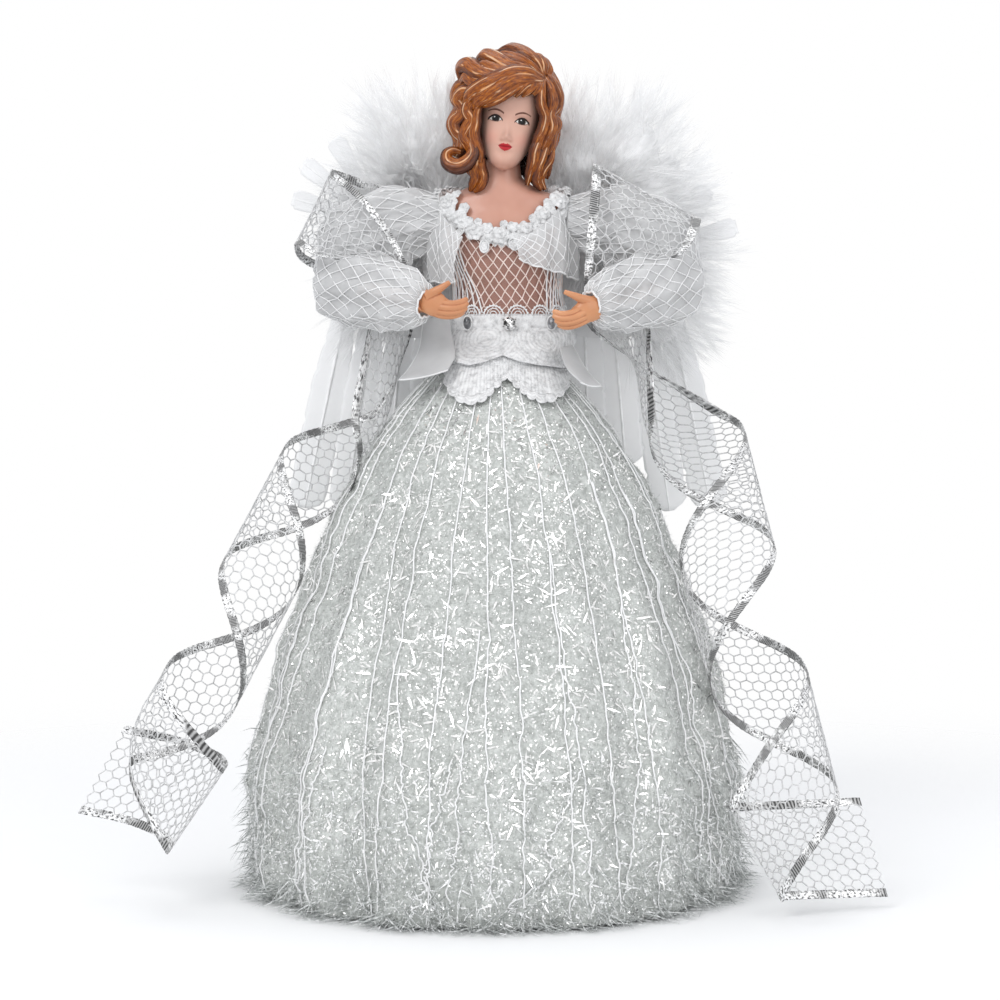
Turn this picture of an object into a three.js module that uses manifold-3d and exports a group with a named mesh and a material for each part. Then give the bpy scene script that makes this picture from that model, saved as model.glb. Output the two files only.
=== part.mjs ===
// Angel tree topper: a doll in a tinsel skirt over a paper cone, with feather wings and net ribbons.
// Millimetres, +Z up. The front faces -Y, and left and right are as seen from the front.
// The origin is on the floor, in the middle of the box round the whole object.
import * as THREE from "three";
import { mergeVertices } from "three/addons/utils/BufferGeometryUtils.js";
import Module from "manifold-3d";

const wasm = await Module();
wasm.setup();

// Fits that every piece shares
const gap = 0.3;
const overrun = 2;
// The cone's axis stands this far to the right of the origin, because the left ribbon reaches farther
const coneAside = 6.5;

// The cone that slips over the tree's tip, and the two skirts on it
const cone = { height: 188, baseRadius: 68, topRadius: 14, wall: 1.5, sides: 32 };
const underskirt = { wall: 1, lift: 4, topDrop: 3 };
const skirt = {
  hemRadius: 84, waistRadius: 20.5, folds: 16, foldDepth: 1.6, fadeShare: 0.5, sides: 48, rings: 13,
};
// The bell's outline: shares of the skirt's height, and of the way from the waist's radius to the hem's
const bellShares = [
  [0, 0.95], [0.07, 1], [0.16, 1], [0.26, 0.97], [0.35, 0.91], [0.45, 0.84], [0.54, 0.75],
  [0.64, 0.65], [0.73, 0.54], [0.83, 0.38], [0.92, 0.2], [1, 0],
];

// The moulded bust: its waist stands to the right of the cone's axis, and its neck leans back over it
const bust = {
  height: 70, halfWidth: 23.5, halfDepth: 15.5, waistAside: 5.2, neckAside: 1.2, leanForward: 1.5, sides: 24,
};
// Shares of the bust's height, half width, half depth and forward lean
const bustShares = [
  [0, 0.68, 0.72, 0], [0.15, 0.87, 0.87, 0], [0.27, 0.81, 0.87, 0], [0.38, 0.77, 0.9, 0.3],
  [0.48, 0.81, 1, 1], [0.6, 0.87, 0.93, 1], [0.71, 0.96, 0.74, 0.3], [0.78, 1, 0.61, 0],
  [0.84, 0.87, 0.55, 0], [0.885, 0.55, 0.52, 0], [0.93, 0.35, 0.48, 0], [1, 0.3, 0.45, 0],
];
const socket = { depth: 6, halfHeight: 2.7, halfWidth: 1.4 };

// The head is tilted towards its left, and the hair stands round it
const head = {
  height: 40, halfWidth: 11.5, halfDepth: 13.5, baseShare: 0.967, forward: 1.5, tiltDegrees: 6, sides: 20,
  noseOut: 2.2, noseHalfWidth: 1.5, noseLength: 6,
};
// Shares of the head's height, half width, half depth and of the half depth that it lies forward
const headShares = [
  [0, 0.25, 0.2, 0.62], [0.06, 0.5, 0.5, 0.42], [0.16, 0.72, 0.75, 0.2], [0.3, 0.86, 0.9, 0.06],
  [0.5, 0.96, 0.98, 0], [0.68, 1, 1, 0], [0.84, 0.86, 0.88, 0], [0.94, 0.58, 0.6, 0], [1, 0.2, 0.2, 0],
];
const hair = { curl: 6.2, faceHalfWidth: 9.6, faceTop: 31, faceDepth: 30 };
// Each lock of hair: shares of the head's half width, half depth and height, then its size in curls
const lockShares = [
  [0, 0.15, 0.86, 2.3, 2.4, 1.6], [-0.55, 0.1, 0.8, 1.9, 2.2, 1.9], [0.6, 0.1, 0.8, 1.9, 2.2, 1.9],
  [0, 0.5, 0.5, 2.3, 1.7, 3], [-1.1, 0.1, 0.5, 1.15, 1.7, 1.9], [1.15, 0.1, 0.5, 1.15, 1.7, 1.9],
  [-1.35, 0.05, 0.1, 1.1, 1.2, 1.1], [1.45, 0.1, 0.22, 1, 1.3, 1.2], [1.15, 0.1, 0.04, 0.8, 1, 1],
  [-0.95, 0.2, 0.03, 0.8, 1, 0.9], [0, 0.7, 0.16, 1.9, 1, 1.7],
];

// The clothes on the bust
const net = { wall: 0.6, armhole: 10 };
const neckline = {
  lowShare: 0.617, highShare: 0.853, cordRadius: 1.3, flowers: 12, flowerRadius: 2.9, flowerDepth: 1.5, petals: 7,
};
const cape = { outward: 24.2, sideShare: 0.4386, frontShare: 0.5386, wall: 0.6, spanDegrees: 118, belowFlowers: 1.6 };
const belt = { bottomShare: 0.153, height: 6.6, wall: 1.2 };
const stone = {
  cupRadius: 2.6, cupDepth: 0.9, radius: 2, height: 1.5, tableRadius: 1.1, spread: 13.8,
  domeHalfWidth: 1.5, domeHalfHeight: 2.1, domeHeight: 1.5, sideCupGrow: 0.3,
  turnShare: 0.55, facets: 8, cupSides: 20,
};
const peplum = { wall: 0.7, bottomShare: -0.0114, scallop: 1.4, scallops: 22, sides: 44 };
const petal = { wall: 0.6, topShare: 0.067 };
// Each petal: its name, its angle from the front, half its angle, its length, and how blunt it is
const petals = [
  { name: "left_lace_lobe", turn: -14, half: 17, length: 19, blunt: 0.5, colour: "lace" },
  { name: "right_lace_lobe", turn: 22.5, half: 17, length: 18.5, blunt: 0.5, colour: "lace" },
  { name: "left_satin_petal", turn: -57, half: 23, length: 13, blunt: 1, colour: "satin" },
  { name: "right_satin_petal", turn: 66, half: 23, length: 15, blunt: 1, colour: "satin" },
];

// The arms: places outward from the bust's middle, forward and up, alike on both sides
const arm = {
  middle: 4, shoulderOut: 22.5, shoulderShare: 0.7386, elbowOut: 61, elbowForward: 3, elbowDrop: 23,
  wristOut: 28.5, wristForward: 33.5, wristDrop: 31.5, wireRadius: 1, wireSides: 8, sides: 10,
  forearmRadius: 3.6, handLength: 14.5, handHalfHeight: 5.2, handHalfDepth: 2.6,
  fingerRadius: 1.25, fingerShare: 0.46, fingerSides: 6, thumbRadius: 1.5, thumbRise: 8.6,
};
// Places along the thumb: shares of the hand's length inward and forward, and of the thumb's rise
const thumbShares = [[0.2, 0.05, 0.2], [0.38, 0.12, 0.75], [0.6, 0.16, 1]];
const sleeve = {
  start: 29.7, wall: 1, shoulderRadius: 11, puffRadius: 16.5, elbowRadius: 13.5, cuffRadius: 8.4,
  puffLift: 5, sides: 16, folds: 4, foldShare: 0.05, puffFlatShare: 0.8, cuffFlatShare: 0.85,
};
const ribbon = {
  width: 38, netWall: 0.5, edgeWidth: 3, edgeWall: 0.9, slot: 0.55, across: 4, rowsPerTurn: 12,
  fitWidth: 34.5, axisRise: 2.3,
};
// Rows of each ribbon over the upper arm, through the crook of the elbow and down behind the forearm:
// shares of the ribbon's width, outward, backward and up from the shoulder, for its inner and outer edge
const rowShares = {};
rowShares.left = [
  [[0.84, 0.34, 0.29], [0.84, 0.34, -0.68]], [[1.26, 0.37, 0.34], [1.42, 0.37, -0.63]],
  [[1.63, 0.16, 0.45], [1.95, 0.21, -0.42]], [[1.63, -0.16, 0.42], [2, -0.16, -0.26]],
  [[1.37, -0.45, 0.21], [1.92, -0.45, -0.29]], [[1.08, -0.53, -0.16], [1.79, -0.52, -0.37]],
  [[0.92, -0.5, -0.5], [1.52, -0.42, -0.42]], [[0.89, -0.25, -0.74], [1.36, -0.2, -0.53]],
  [[0.87, 0.05, -0.95], [1.3, 0.1, -0.82]],
];
rowShares.right = [
  [[0.84, 0.34, 0.34], [0.84, 0.34, -0.63]], [[0.95, 0.37, 0.42], [1.21, 0.37, -0.58]],
  [[0.84, 0.16, 0.5], [1.75, 0.21, -0.21]], [[0.79, -0.16, 0.47], [1.8, -0.16, -0.02]],
  [[0.76, -0.45, 0.16], [1.76, -0.47, -0.12]], [[0.72, -0.53, -0.26], [1.68, -0.52, -0.28]],
  [[0.7, -0.5, -0.58], [1.52, -0.42, -0.42]], [[0.7, -0.25, -0.78], [1.36, -0.2, -0.53]],
  [[0.72, 0.05, -0.96], [1.34, 0.08, -0.82]], [[0.86, 0.2, -1.12], [1.34, -0.04, -1.08]],
];
// Each hanging curl: its radius and its rise in a turn, the place, lean and turn of its axis, and how far
// down the axis its first edge starts and ends, with how much farther its second edge does
const curls = {
  left: {
    radius: 13.9, lead: 90, asideShare: -0.518, back: 8, lean: -0.52, forward: 0.44, turn: -0.19,
    start: 14, lag: 16, end: 146, slant: 26,
  },
  right: {
    radius: 17, lead: 88.5, asideShare: 0.768, back: 0, lean: 0.24, forward: 0.32, turn: 4.16,
    start: 20, lag: 2, end: 152, slant: 35,
  },
};
// The last stretch of each ribbon is folded back on itself: rows as over the arm, but from the curl's top
const tailShares = {};
tailShares.left = [
  [[1.28, -1.891, -3.604], [1.83, -1.791, -4.424]], [[1.35, -1.461, -3.584], [1.89, -1.361, -4.404]],
  [[1.77, -0.971, -3.504], [2.29, -0.911, -4.324]], [[2.3, -0.931, -3.394], [2.75, -0.891, -4.224]],
];
tailShares.right = [
  [[0.388, -1.47, -4.014], [0.858, -1.68, -4.844]], [[0.428, -1.37, -4.014], [0.898, -1.58, -4.854]],
  [[1.008, -1.2, -4.014], [1.348, -1.4, -4.874]], [[1.618, -1.1, -4.004], [1.858, -1.28, -4.884]],
];

// The wings: a card behind each shoulder, down on its front and quills on its back
const wing = {
  pad: 7, padHalfWidth: 10, padHeight: 26, padShare: 0.367, cardWall: 1.5, rootOut: 3, rootShare: 0.253,
  reach: 62, top: 46, downDepth: 6.5, downRadius: 17, quillWall: 0.7, quillLength: 92, quillHalfWidth: 7,
  tipLength: 26, tipHalfWidth: 3.6, tips: 3,
};
// Each quill: shares of the reach outward, of the top up and of the quill's length, then its lean in degrees
const quillShares = [[0.4, 0.3, 0.52, 2], [0.56, 0.42, 0.73, 5], [0.72, 0.56, 0.96, 8], [0.86, 0.7, 1, 12]];
// The card's outline: shares of the wing's reach outward and its top over the root
const cardShares = [
  [0, 0], [0, 0.75], [0.3, 1], [0.62, 1.05], [0.9, 0.8], [1, 0.35], [0.86, -0.1], [0.45, -0.2],
];
// Tufts of down: shares of the reach, of the top, and of the down's radius
const tuftShares = [
  [0.3, 0.75, 1], [0.36, 1.25, 1], [0.68, 1.3, 0.95], [0.92, 0.92, 1],
  [1, 0.42, 1], [0.94, 0, 0.85], [0.6, 0.6, 1.2],
];

// Heights: each piece is placed from the one that carries it
const skirtTop = cone.height - gap;
const bustBase = cone.height + gap;
const bustAt = (share) => bustBase + share * bust.height;
const headBase = bustAt(head.baseShare);
const necklineLow = bustAt(neckline.lowShare);
const necklineHigh = bustAt(neckline.highShare);
const beltBottom = bustAt(belt.bottomShare);
const petalTop = bustAt(petal.topShare);
const shoulderHeight = bustAt(arm.shoulderShare);
const elbowHeight = shoulderHeight - arm.elbowDrop;
const wristHeight = shoulderHeight - arm.wristDrop;
const axisTop = skirtTop + ribbon.axisRise;
const wingRoot = bustAt(wing.rootShare);

const colours = {
  paper: { color: 0xf2f2ef, roughness: 0.9, metalness: 0 },
  cloth: { color: 0xf0f0ee, roughness: 0.95, metalness: 0 },
  tinsel: { color: 0xdfe2e4, roughness: 0.35, metalness: 0.2 },
  skin: { color: 0xd9a48f, roughness: 0.4, metalness: 0 },
  hand: { color: 0xdca079, roughness: 0.4, metalness: 0 },
  hair: { color: 0x96501c, roughness: 0.3, metalness: 0 },
  net: { color: 0xe9eaea, roughness: 0.8, metalness: 0 },
  lace: { color: 0xfafafa, roughness: 0.85, metalness: 0 },
  satin: { color: 0xf4f4f2, roughness: 0.35, metalness: 0 },
  foil: { color: 0xb9bcc0, roughness: 0.25, metalness: 0.9 },
  glass: { color: 0xeef2f5, roughness: 0.05, metalness: 0 },
  smoke: { color: 0x5d6066, roughness: 0.12, metalness: 0.1 },
  steel: { color: 0x8d9094, roughness: 0.35, metalness: 1 },
  down: { color: 0xfbfbfb, roughness: 0.95, metalness: 0 },
  quill: { color: 0xf3f4f4, roughness: 0.7, metalness: 0 },
};

const angel = new THREE.Group();
const body = new THREE.Group();
const arms = { left: new THREE.Group(), right: new THREE.Group() };
const figure = new THREE.Group();
figure.position.x = coneAside;
figure.add(body, arms.left, arms.right);
angel.add(figure);

// Points, lines and shares
const mix = THREE.MathUtils.lerp;
const toRadians = THREE.MathUtils.degToRad;
const point = (x, y, z) => new THREE.Vector3(x, y, z);
const steps = (count) => Array.from({ length: count + 1 }, (_, i) => i / count);
const fullTurn = 2 * Math.PI;

// Reads a table of shares at a place between its rows
function readShares(table, at) {
  const above = table.findIndex((row) => row[0] >= at);
  if (above <= 0) return above === 0 ? table[0] : table[table.length - 1];
  const low = table[above - 1];
  const high = table[above];
  const along = (at - low[0]) / (high[0] - low[0]);
  return low.map((value, i) => mix(value, high[i], along));
}

// A closed surface from triangles of points, with its faces turned outwards
function surface(points, triangles) {
  const geometry = new THREE.BufferGeometry();
  geometry.setAttribute("position", new THREE.Float32BufferAttribute(points.flatMap((p) => p.toArray()), 3));
  const volume = triangles.reduce((sum, [a, b, c]) => {
    return sum + points[a].dot(point(0, 0, 0).crossVectors(points[b], points[c]));
  }, 0);
  geometry.setIndex(triangles.flatMap(([a, b, c]) => (volume < 0 ? [a, c, b] : [a, b, c])));
  return geometry;
}

// A solid through a stack of rings, closed by a fan at each end
function loft(rings) {
  const sides = rings[0].length;
  const points = rings.flat();
  const triangles = [];
  rings.slice(1).forEach((_, i) => {
    for (let j = 0; j < sides; j += 1) {
      const next = (j + 1) % sides;
      const low = i * sides;
      const high = low + sides;
      triangles.push([low + j, low + next, high + next], [low + j, high + next, high + j]);
    }
  });
  const centreOf = (ring) => ring.reduce((sum, p) => sum.add(p), point(0, 0, 0)).divideScalar(sides);
  const bottom = points.push(centreOf(rings[0])) - 1;
  const top = points.push(centreOf(rings[rings.length - 1])) - 1;
  const last = (rings.length - 1) * sides;
  for (let j = 0; j < sides; j += 1) {
    const next = (j + 1) % sides;
    triangles.push([bottom, next, j], [top, last + j, last + next]);
  }
  return surface(points, triangles);
}

// A sheet with a thickness through rows of points; a ring's rows close on themselves
function sheet(rows, thickness, ring = false) {
  const across = rows[0].length;
  const points = [];
  const place = (i, j) => rows[Math.min(Math.max(i, 0), rows.length - 1)][
    ring ? (j + across) % across : Math.min(Math.max(j, 0), across - 1)];
  for (const side of [0.5, -0.5]) {
    rows.forEach((row, i) => row.forEach((p, j) => {
      const along = place(i + 1, j).clone().sub(place(i - 1, j));
      const over = place(i, j + 1).clone().sub(place(i, j - 1));
      points.push(p.clone().addScaledVector(along.cross(over).normalize(), side * thickness));
    }));
  }
  const back = rows.length * across;
  const triangles = [];
  const quad = (a, b, c, d) => triangles.push([a, b, c], [a, c, d]);
  const at = (i, j) => i * across + (j % across);
  const lastColumn = ring ? across : across - 1;
  for (let i = 0; i + 1 < rows.length; i += 1) {
    for (let j = 0; j < lastColumn; j += 1) {
      quad(at(i, j), at(i + 1, j), at(i + 1, j + 1), at(i, j + 1));
      quad(back + at(i, j), back + at(i, j + 1), back + at(i + 1, j + 1), back + at(i + 1, j));
    }
    if (!ring) {
      quad(at(i, 0), back + at(i, 0), back + at(i + 1, 0), at(i + 1, 0));
      quad(at(i, lastColumn), at(i + 1, lastColumn), back + at(i + 1, lastColumn), back + at(i, lastColumn));
    }
  }
  const end = rows.length - 1;
  for (let j = 0; j < lastColumn; j += 1) {
    quad(at(0, j), at(0, j + 1), back + at(0, j + 1), back + at(0, j));
    quad(at(end, j), back + at(end, j), back + at(end, j + 1), at(end, j + 1));
  }
  return surface(points, triangles);
}

// A ring of points round a centre, in the plane of two directions
function ring(centre, across, deep, sides, swell = () => 1) {
  return steps(sides).slice(1).map((share) => {
    const angle = share * fullTurn;
    return centre.clone()
      .addScaledVector(across, Math.cos(angle) * swell(angle))
      .addScaledVector(deep, Math.sin(angle) * swell(angle));
  });
}

// A limb through a few places, with its radius at each; flatShare narrows it along Y
function limb(places, radii, sides, flatShare = 1, swell = () => 1) {
  const curve = new THREE.CatmullRomCurve3(places);
  const rings = places.map((place, i) => {
    const along = curve.getTangent(i / (places.length - 1));
    const upward = point(0, 0, 1).addScaledVector(along, -along.z).normalize();
    const sideways = point(0, 0, 0).crossVectors(along, upward);
    const across = upward.multiplyScalar(radii[i]);
    const deep = sideways.multiplyScalar(radii[i] * flatShare);
    return ring(place, across, deep, sides, swell);
  });
  return loft(rings);
}

// Cutting and joining
function solid(geometry) {
  const bare = new THREE.BufferGeometry();
  bare.setAttribute("position", geometry.getAttribute("position"));
  bare.setIndex(geometry.index);
  const merged = mergeVertices(bare, 1e-4);
  return new wasm.Manifold(new wasm.Mesh({
    numProp: 3,
    vertProperties: merged.getAttribute("position").array,
    triVerts: new Uint32Array(merged.index.array),
  }));
}

function shapeOf(made) {
  const mesh = made.getMesh();
  const geometry = new THREE.BufferGeometry();
  geometry.setAttribute("position", new THREE.BufferAttribute(mesh.vertProperties, 3));
  geometry.setIndex(new THREE.BufferAttribute(mesh.triVerts, 1));
  return geometry;
}

const joined = (shapes) => shapes.map(solid).reduce((sum, next) => sum.add(next));
const block = (wide, deep, high, centre) => {
  return new THREE.BoxGeometry(wide, deep, high).translate(centre.x, centre.y, centre.z);
};

// Adds a piece, with its own material, to a group
function add(group, name, geometry, colour) {
  const bare = new THREE.BufferGeometry();
  bare.setAttribute("position", geometry.getAttribute("position"));
  bare.setIndex(geometry.index);
  const shown = bare.index ? bare.toNonIndexed() : bare;
  shown.computeVertexNormals();
  const mesh = new THREE.Mesh(shown, new THREE.MeshStandardMaterial(colours[colour]));
  mesh.name = name;
  group.add(mesh);
}

// Cone and skirts
const coneRadius = (z) => mix(cone.baseRadius, cone.topRadius, z / cone.height);

function skirtRadius(z, angle = 0) {
  const share = readShares(bellShares, z / skirtTop)[1];
  const fade = Math.min(1, (1 - z / skirtTop) / skirt.fadeShare);
  const fold = skirt.foldDepth * Math.cos(skirt.folds * angle) * fade;
  return mix(skirt.waistRadius, skirt.hemRadius, share) + fold;
}

function lathe(profile) {
  const points = profile.map(([r, z]) => new THREE.Vector2(r, z));
  return new THREE.LatheGeometry(points, cone.sides).rotateX(Math.PI / 2);
}

function makeCone() {
  const { height, baseRadius, topRadius, wall } = cone;
  const profile = [
    [baseRadius - wall, 0], [baseRadius, 0], [topRadius, height], [topRadius - wall, height],
    [baseRadius - wall, 0],
  ];
  add(body, "topper_cone", lathe(profile), "paper");
}

function makeUnderskirt() {
  const { wall, lift, topDrop } = underskirt;
  const top = skirtTop - topDrop;
  const inner = (z) => coneRadius(z) + gap;
  const profile = [
    [inner(lift), lift], [inner(lift) + wall, lift], [inner(top) + wall, top], [inner(top), top],
    [inner(lift), lift],
  ];
  add(body, "underskirt", lathe(profile), "cloth");
}

function makeSkirt() {
  const inner = (z) => coneRadius(z) + gap + underskirt.wall + gap;
  const turns = steps(skirt.sides).slice(1).map((share) => share * fullTurn);
  const circle = (radiusAt, z) => turns.map((a) => {
    return point(radiusAt(a) * Math.cos(a), radiusAt(a) * Math.sin(a), z);
  });
  const outerRings = steps(skirt.rings).map((share) => {
    return circle((a) => skirtRadius(share * skirtTop, a), share * skirtTop);
  });
  const innerRings = [circle(() => inner(skirtTop), skirtTop), circle(() => inner(0), 0)];
  const rings = [...outerRings, ...innerRings];
  const { sides } = skirt;
  const triangles = [];
  rings.forEach((_, i) => {
    const low = i * sides;
    const high = ((i + 1) % rings.length) * sides;
    for (let j = 0; j < sides; j += 1) {
      const next = (j + 1) % sides;
      triangles.push([low + j, low + next, high + next], [low + j, high + next, high + j]);
    }
  });
  add(body, "tinsel_skirt", surface(rings.flat(), triangles), "tinsel");
}

// Bust, with a slot at each shoulder for the arm's wire
const bustRow = (z) => readShares(bustShares, (z - bustBase) / bust.height);

function bustCentre(z) {
  const share = THREE.MathUtils.clamp((z - bustBase) / bust.height, 0, 1);
  return point(mix(bust.waistAside, bust.neckAside, share), -bust.leanForward * bustRow(z)[3], z);
}

function bustPoint(z, angle, grow) {
  const [, wide, deep] = bustRow(z);
  const across = (bust.halfWidth * wide + grow) * Math.cos(angle);
  return bustCentre(z).add(point(across, (bust.halfDepth * deep + grow) * Math.sin(angle), 0));
}

function bustRing(z, grow) {
  return steps(bust.sides).slice(1).map((share) => bustPoint(z, share * fullTurn, grow));
}

const bustHeights = bustShares.map((row) => bustBase + row[0] * bust.height);
const outward = (side, out, back, z) => point(arm.middle + side * out, back, z);

function makeBust() {
  let made = solid(loft(bustHeights.map((z) => bustRing(z, 0))));
  for (const side of [-1, 1]) {
    const mouth = outward(side, arm.shoulderOut - socket.depth + overrun, 0, shoulderHeight);
    const slot = block(2 * (socket.depth + overrun), 2 * socket.halfWidth, 2 * socket.halfHeight, mouth);
    made = made.subtract(solid(slot));
  }
  add(body, "bust", shapeOf(made), "skin");
}

// Head and hair
function headPlace(geometry) {
  return geometry
    .translate(0, 0, -headBase)
    .rotateY(toRadians(head.tiltDegrees))
    .translate(bust.neckAside, -head.forward, headBase);
}

function headShape(grow) {
  const rings = headShares.map(([up, wide, deep, forward], i) => {
    const edge = i === 0 ? -grow : i === headShares.length - 1 ? grow : 0;
    const centre = point(0, -forward * head.halfDepth, headBase + up * head.height + edge);
    const across = point(wide * head.halfWidth + grow, 0, 0);
    return ring(centre, across, point(0, deep * head.halfDepth + grow, 0), head.sides);
  });
  return headPlace(loft(rings));
}

function makeHead() {
  const noseHeight = headBase + head.height * headShares[3][0];
  const noseRoot = -head.halfDepth * (headShares[3][2] + headShares[3][3]);
  const nose = new THREE.ConeGeometry(head.noseHalfWidth, head.noseLength, 6)
    .rotateX(Math.PI / 2)
    .translate(0, noseRoot + head.noseLength / 2 - head.noseOut, noseHeight);
  const neck = loft(bustHeights.slice(-3).map((z) => bustRing(z, gap)));
  const [, neckWide, neckDeep] = bustShares[bustShares.length - 1];
  const neckEnd = block(2 * bust.halfWidth * neckWide, 2 * bust.halfDepth * neckDeep, 2 * gap,
    bustCentre(bustBase + bust.height));
  const made = solid(headShape(0)).add(solid(headPlace(nose))).subtract(joined([neck, neckEnd]));
  add(body, "head", shapeOf(made), "skin");
}

function makeHair() {
  const locks = lockShares.map(([aside, back, up, wide, deep, high]) => {
    const ball = new THREE.SphereGeometry(hair.curl, 9, 6).rotateX(Math.PI / 2).scale(wide, deep, high);
    return headPlace(ball.translate(
      aside * head.halfWidth, back * head.halfDepth, headBase + up * head.height));
  });
  const front = -head.halfDepth - hair.faceDepth / 2;
  const face = headPlace(block(2 * hair.faceHalfWidth, hair.faceDepth + head.halfDepth, hair.faceTop,
    point(0, front, headBase + hair.faceTop / 2 - overrun)));
  const shoulders = loft(bustHeights.map((z) => bustRing(z, gap + net.wall + gap)));
  const made = joined(locks).subtract(joined([headShape(gap), face])).subtract(solid(shoulders));
  const bodies = made.decompose().sort((a, b) => b.volume() - a.volume());
  add(body, "hair", shapeOf(bodies[0]), "hair");
}

// Bodice net, neckline flowers and shoulder capes
const beltTop = beltBottom + belt.height;
const frontness = (angle) => (1 - Math.sin(angle)) / 2;
const necklineHeight = (angle) => mix(necklineHigh, necklineLow, frontness(angle) ** 3);

function makeBodice() {
  const outer = gap + net.wall;
  const rows = bustHeights.filter((z) => z > beltTop && z < necklineHigh);
  const heights = [beltTop + gap, ...rows, necklineHigh];
  const shell = solid(loft(heights.map((z) => bustRing(z, outer))))
    .subtract(solid(loft([heights[0] - overrun, ...heights.slice(1, -1), necklineHigh + overrun]
      .map((z) => bustRing(z, gap)))));
  const scoop = new THREE.SphereGeometry(1, 12, 8)
    .scale(0.8 * bust.halfWidth, bust.halfDepth + overrun, necklineHigh - necklineLow)
    .translate(bustCentre(necklineHigh).x, -0.35 * bust.halfDepth, necklineHigh);
  let made = shell.subtract(solid(scoop));
  for (const side of [-1, 1]) {
    const hole = new THREE.CylinderGeometry(net.armhole, net.armhole, bust.halfWidth, 12)
      .rotateZ(Math.PI / 2)
      .translate(arm.middle + side * (arm.shoulderOut + net.armhole - overrun), 0, shoulderHeight);
    made = made.subtract(solid(hole));
  }
  add(body, "bodice_net", shapeOf(made), "net");
}

// A place on the neckline, at a height over the bust, and the direction away from the bust there
function onNeckline(angle, out) {
  const height = necklineHeight(angle);
  const up = bustPoint(height + gap, angle, 0).sub(bustPoint(height - gap, angle, 0));
  const around = bustPoint(height, angle + 0.01, 0).sub(bustPoint(height, angle - 0.01, 0));
  const away = around.cross(up).normalize();
  return { place: bustPoint(height, angle, 0).addScaledVector(away, out), away };
}

function makeNeckline() {
  const lift = 2 * gap + net.wall + gap + neckline.cordRadius;
  const places = steps(24).slice(1).map((share) => onNeckline(share * fullTurn, lift).place);
  const path = new THREE.CatmullRomCurve3(places, true);
  const dot = new THREE.Shape().absarc(0, 0, neckline.cordRadius, 0, fullTurn, true);
  const band = new THREE.ExtrudeGeometry(dot,
    { steps: 30, curveSegments: 3, bevelEnabled: false, extrudePath: path });
  let made = solid(band);
  for (const share of steps(neckline.flowers).slice(1)) {
    const { place, away } = onNeckline(share * fullTurn, lift + neckline.flowerDepth / 2);
    const turn = new THREE.Quaternion().setFromUnitVectors(point(0, 1, 0), away);
    const { flowerRadius, flowerDepth, petals: count } = neckline;
    const flower = new THREE.CylinderGeometry(flowerRadius, flowerRadius, flowerDepth, count);
    made = made.add(solid(flower.applyQuaternion(turn).translate(...place.toArray())));
  }
  add(body, "neckline_flowers", shapeOf(made), "lace");
}

function makeCapes() {
  const onNet = gap + net.wall + gap + cape.wall;
  for (const side of [-1, 1]) {
    const start = side < 0 ? Math.PI : 0;
    const half = toRadians(cape.spanDegrees) / 2;
    const rows = steps(8).map((share) => {
      const angle = start + mix(-half, half, share);
      const top = necklineHeight(angle) - neckline.flowerRadius - cape.belowFlowers;
      const low = mix(bustAt(cape.sideShare), bustAt(cape.frontShare), Math.abs(2 * share - 1));
      const bulge = Math.cos(mix(-half, half, share));
      return steps(4).map((down) => {
        const z = mix(top, low, down);
        const reach = cape.outward - bust.halfWidth * bustRow(z)[1];
        return bustPoint(z, angle, Math.max(mix(onNet, reach, bulge * down ** 0.5), onNet));
      });
    });
    const outside = outward(side, arm.shoulderOut + bust.halfWidth - overrun, 0, shoulderHeight);
    const slot = block(2 * bust.halfWidth, 2 * socket.halfWidth, 2 * socket.halfHeight, outside);
    const made = solid(sheet(rows, cape.wall)).subtract(solid(slot));
    add(body, side < 0 ? "left_shoulder_cape" : "right_shoulder_cape", shapeOf(made), "net");
  }
}

// Belt and its stones
const beltGrow = gap;

function makeBelt() {
  const levels = [beltBottom, beltTop];
  const inner = levels.map((z, i) => bustRing(z, beltGrow).map((p) => p.setZ(z + (2 * i - 1) * overrun)));
  const made = solid(loft(levels.map((z) => bustRing(z, beltGrow + belt.wall)))).subtract(solid(loft(inner)));
  add(body, "waist_belt", shapeOf(made), "satin");
}

function makeStones() {
  const middle = (beltBottom + beltTop) / 2;
  const stones = [["left", -1], ["centre", 0], ["right", 1]];
  for (const [name, side] of stones) {
    const centre = bustCentre(middle);
    const reach = bust.halfWidth * bustRow(middle)[1] + beltGrow + belt.wall;
    const angle = -Math.PI / 2 + side * Math.asin(stone.spread / reach);
    const seat = bustPoint(middle, angle, beltGrow + belt.wall);
    const away = seat.clone().sub(centre).setZ(0);
    away.set(away.x * stone.turnShare, away.y, 0).normalize();
    const turn = new THREE.Quaternion().setFromUnitVectors(point(0, 1, 0), away);
    const place = (shape, out) => shape.applyQuaternion(turn)
      .translate(...seat.clone().addScaledVector(away, out).toArray());
    const cupRadius = stone.cupRadius + (side === 0 ? 0 : stone.sideCupGrow);
    const cup = new THREE.CylinderGeometry(cupRadius, cupRadius, stone.cupDepth, stone.cupSides);
    add(body, name + "_stone_cup", place(cup, 2 * gap + stone.cupDepth / 2), "steel");
    const onCup = 3 * gap + stone.cupDepth;
    if (side === 0) {
      const cut = new THREE.CylinderGeometry(stone.tableRadius, stone.radius, stone.height, stone.facets);
      add(body, "centre_rhinestone", place(cut, onCup + stone.height / 2), "glass");
    } else {
      const dome = solid(new THREE.SphereGeometry(1, 16, 10)
        .scale(stone.domeHalfWidth, stone.domeHeight, stone.domeHalfHeight));
      const half = solid(block(2 * stone.cupRadius, stone.domeHeight, 2 * stone.cupRadius,
        point(0, stone.domeHeight / 2, 0)));
      add(body, name + "_smoke_stone", place(shapeOf(dome.intersect(half)), onCup), "smoke");
    }
  }
}

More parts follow.
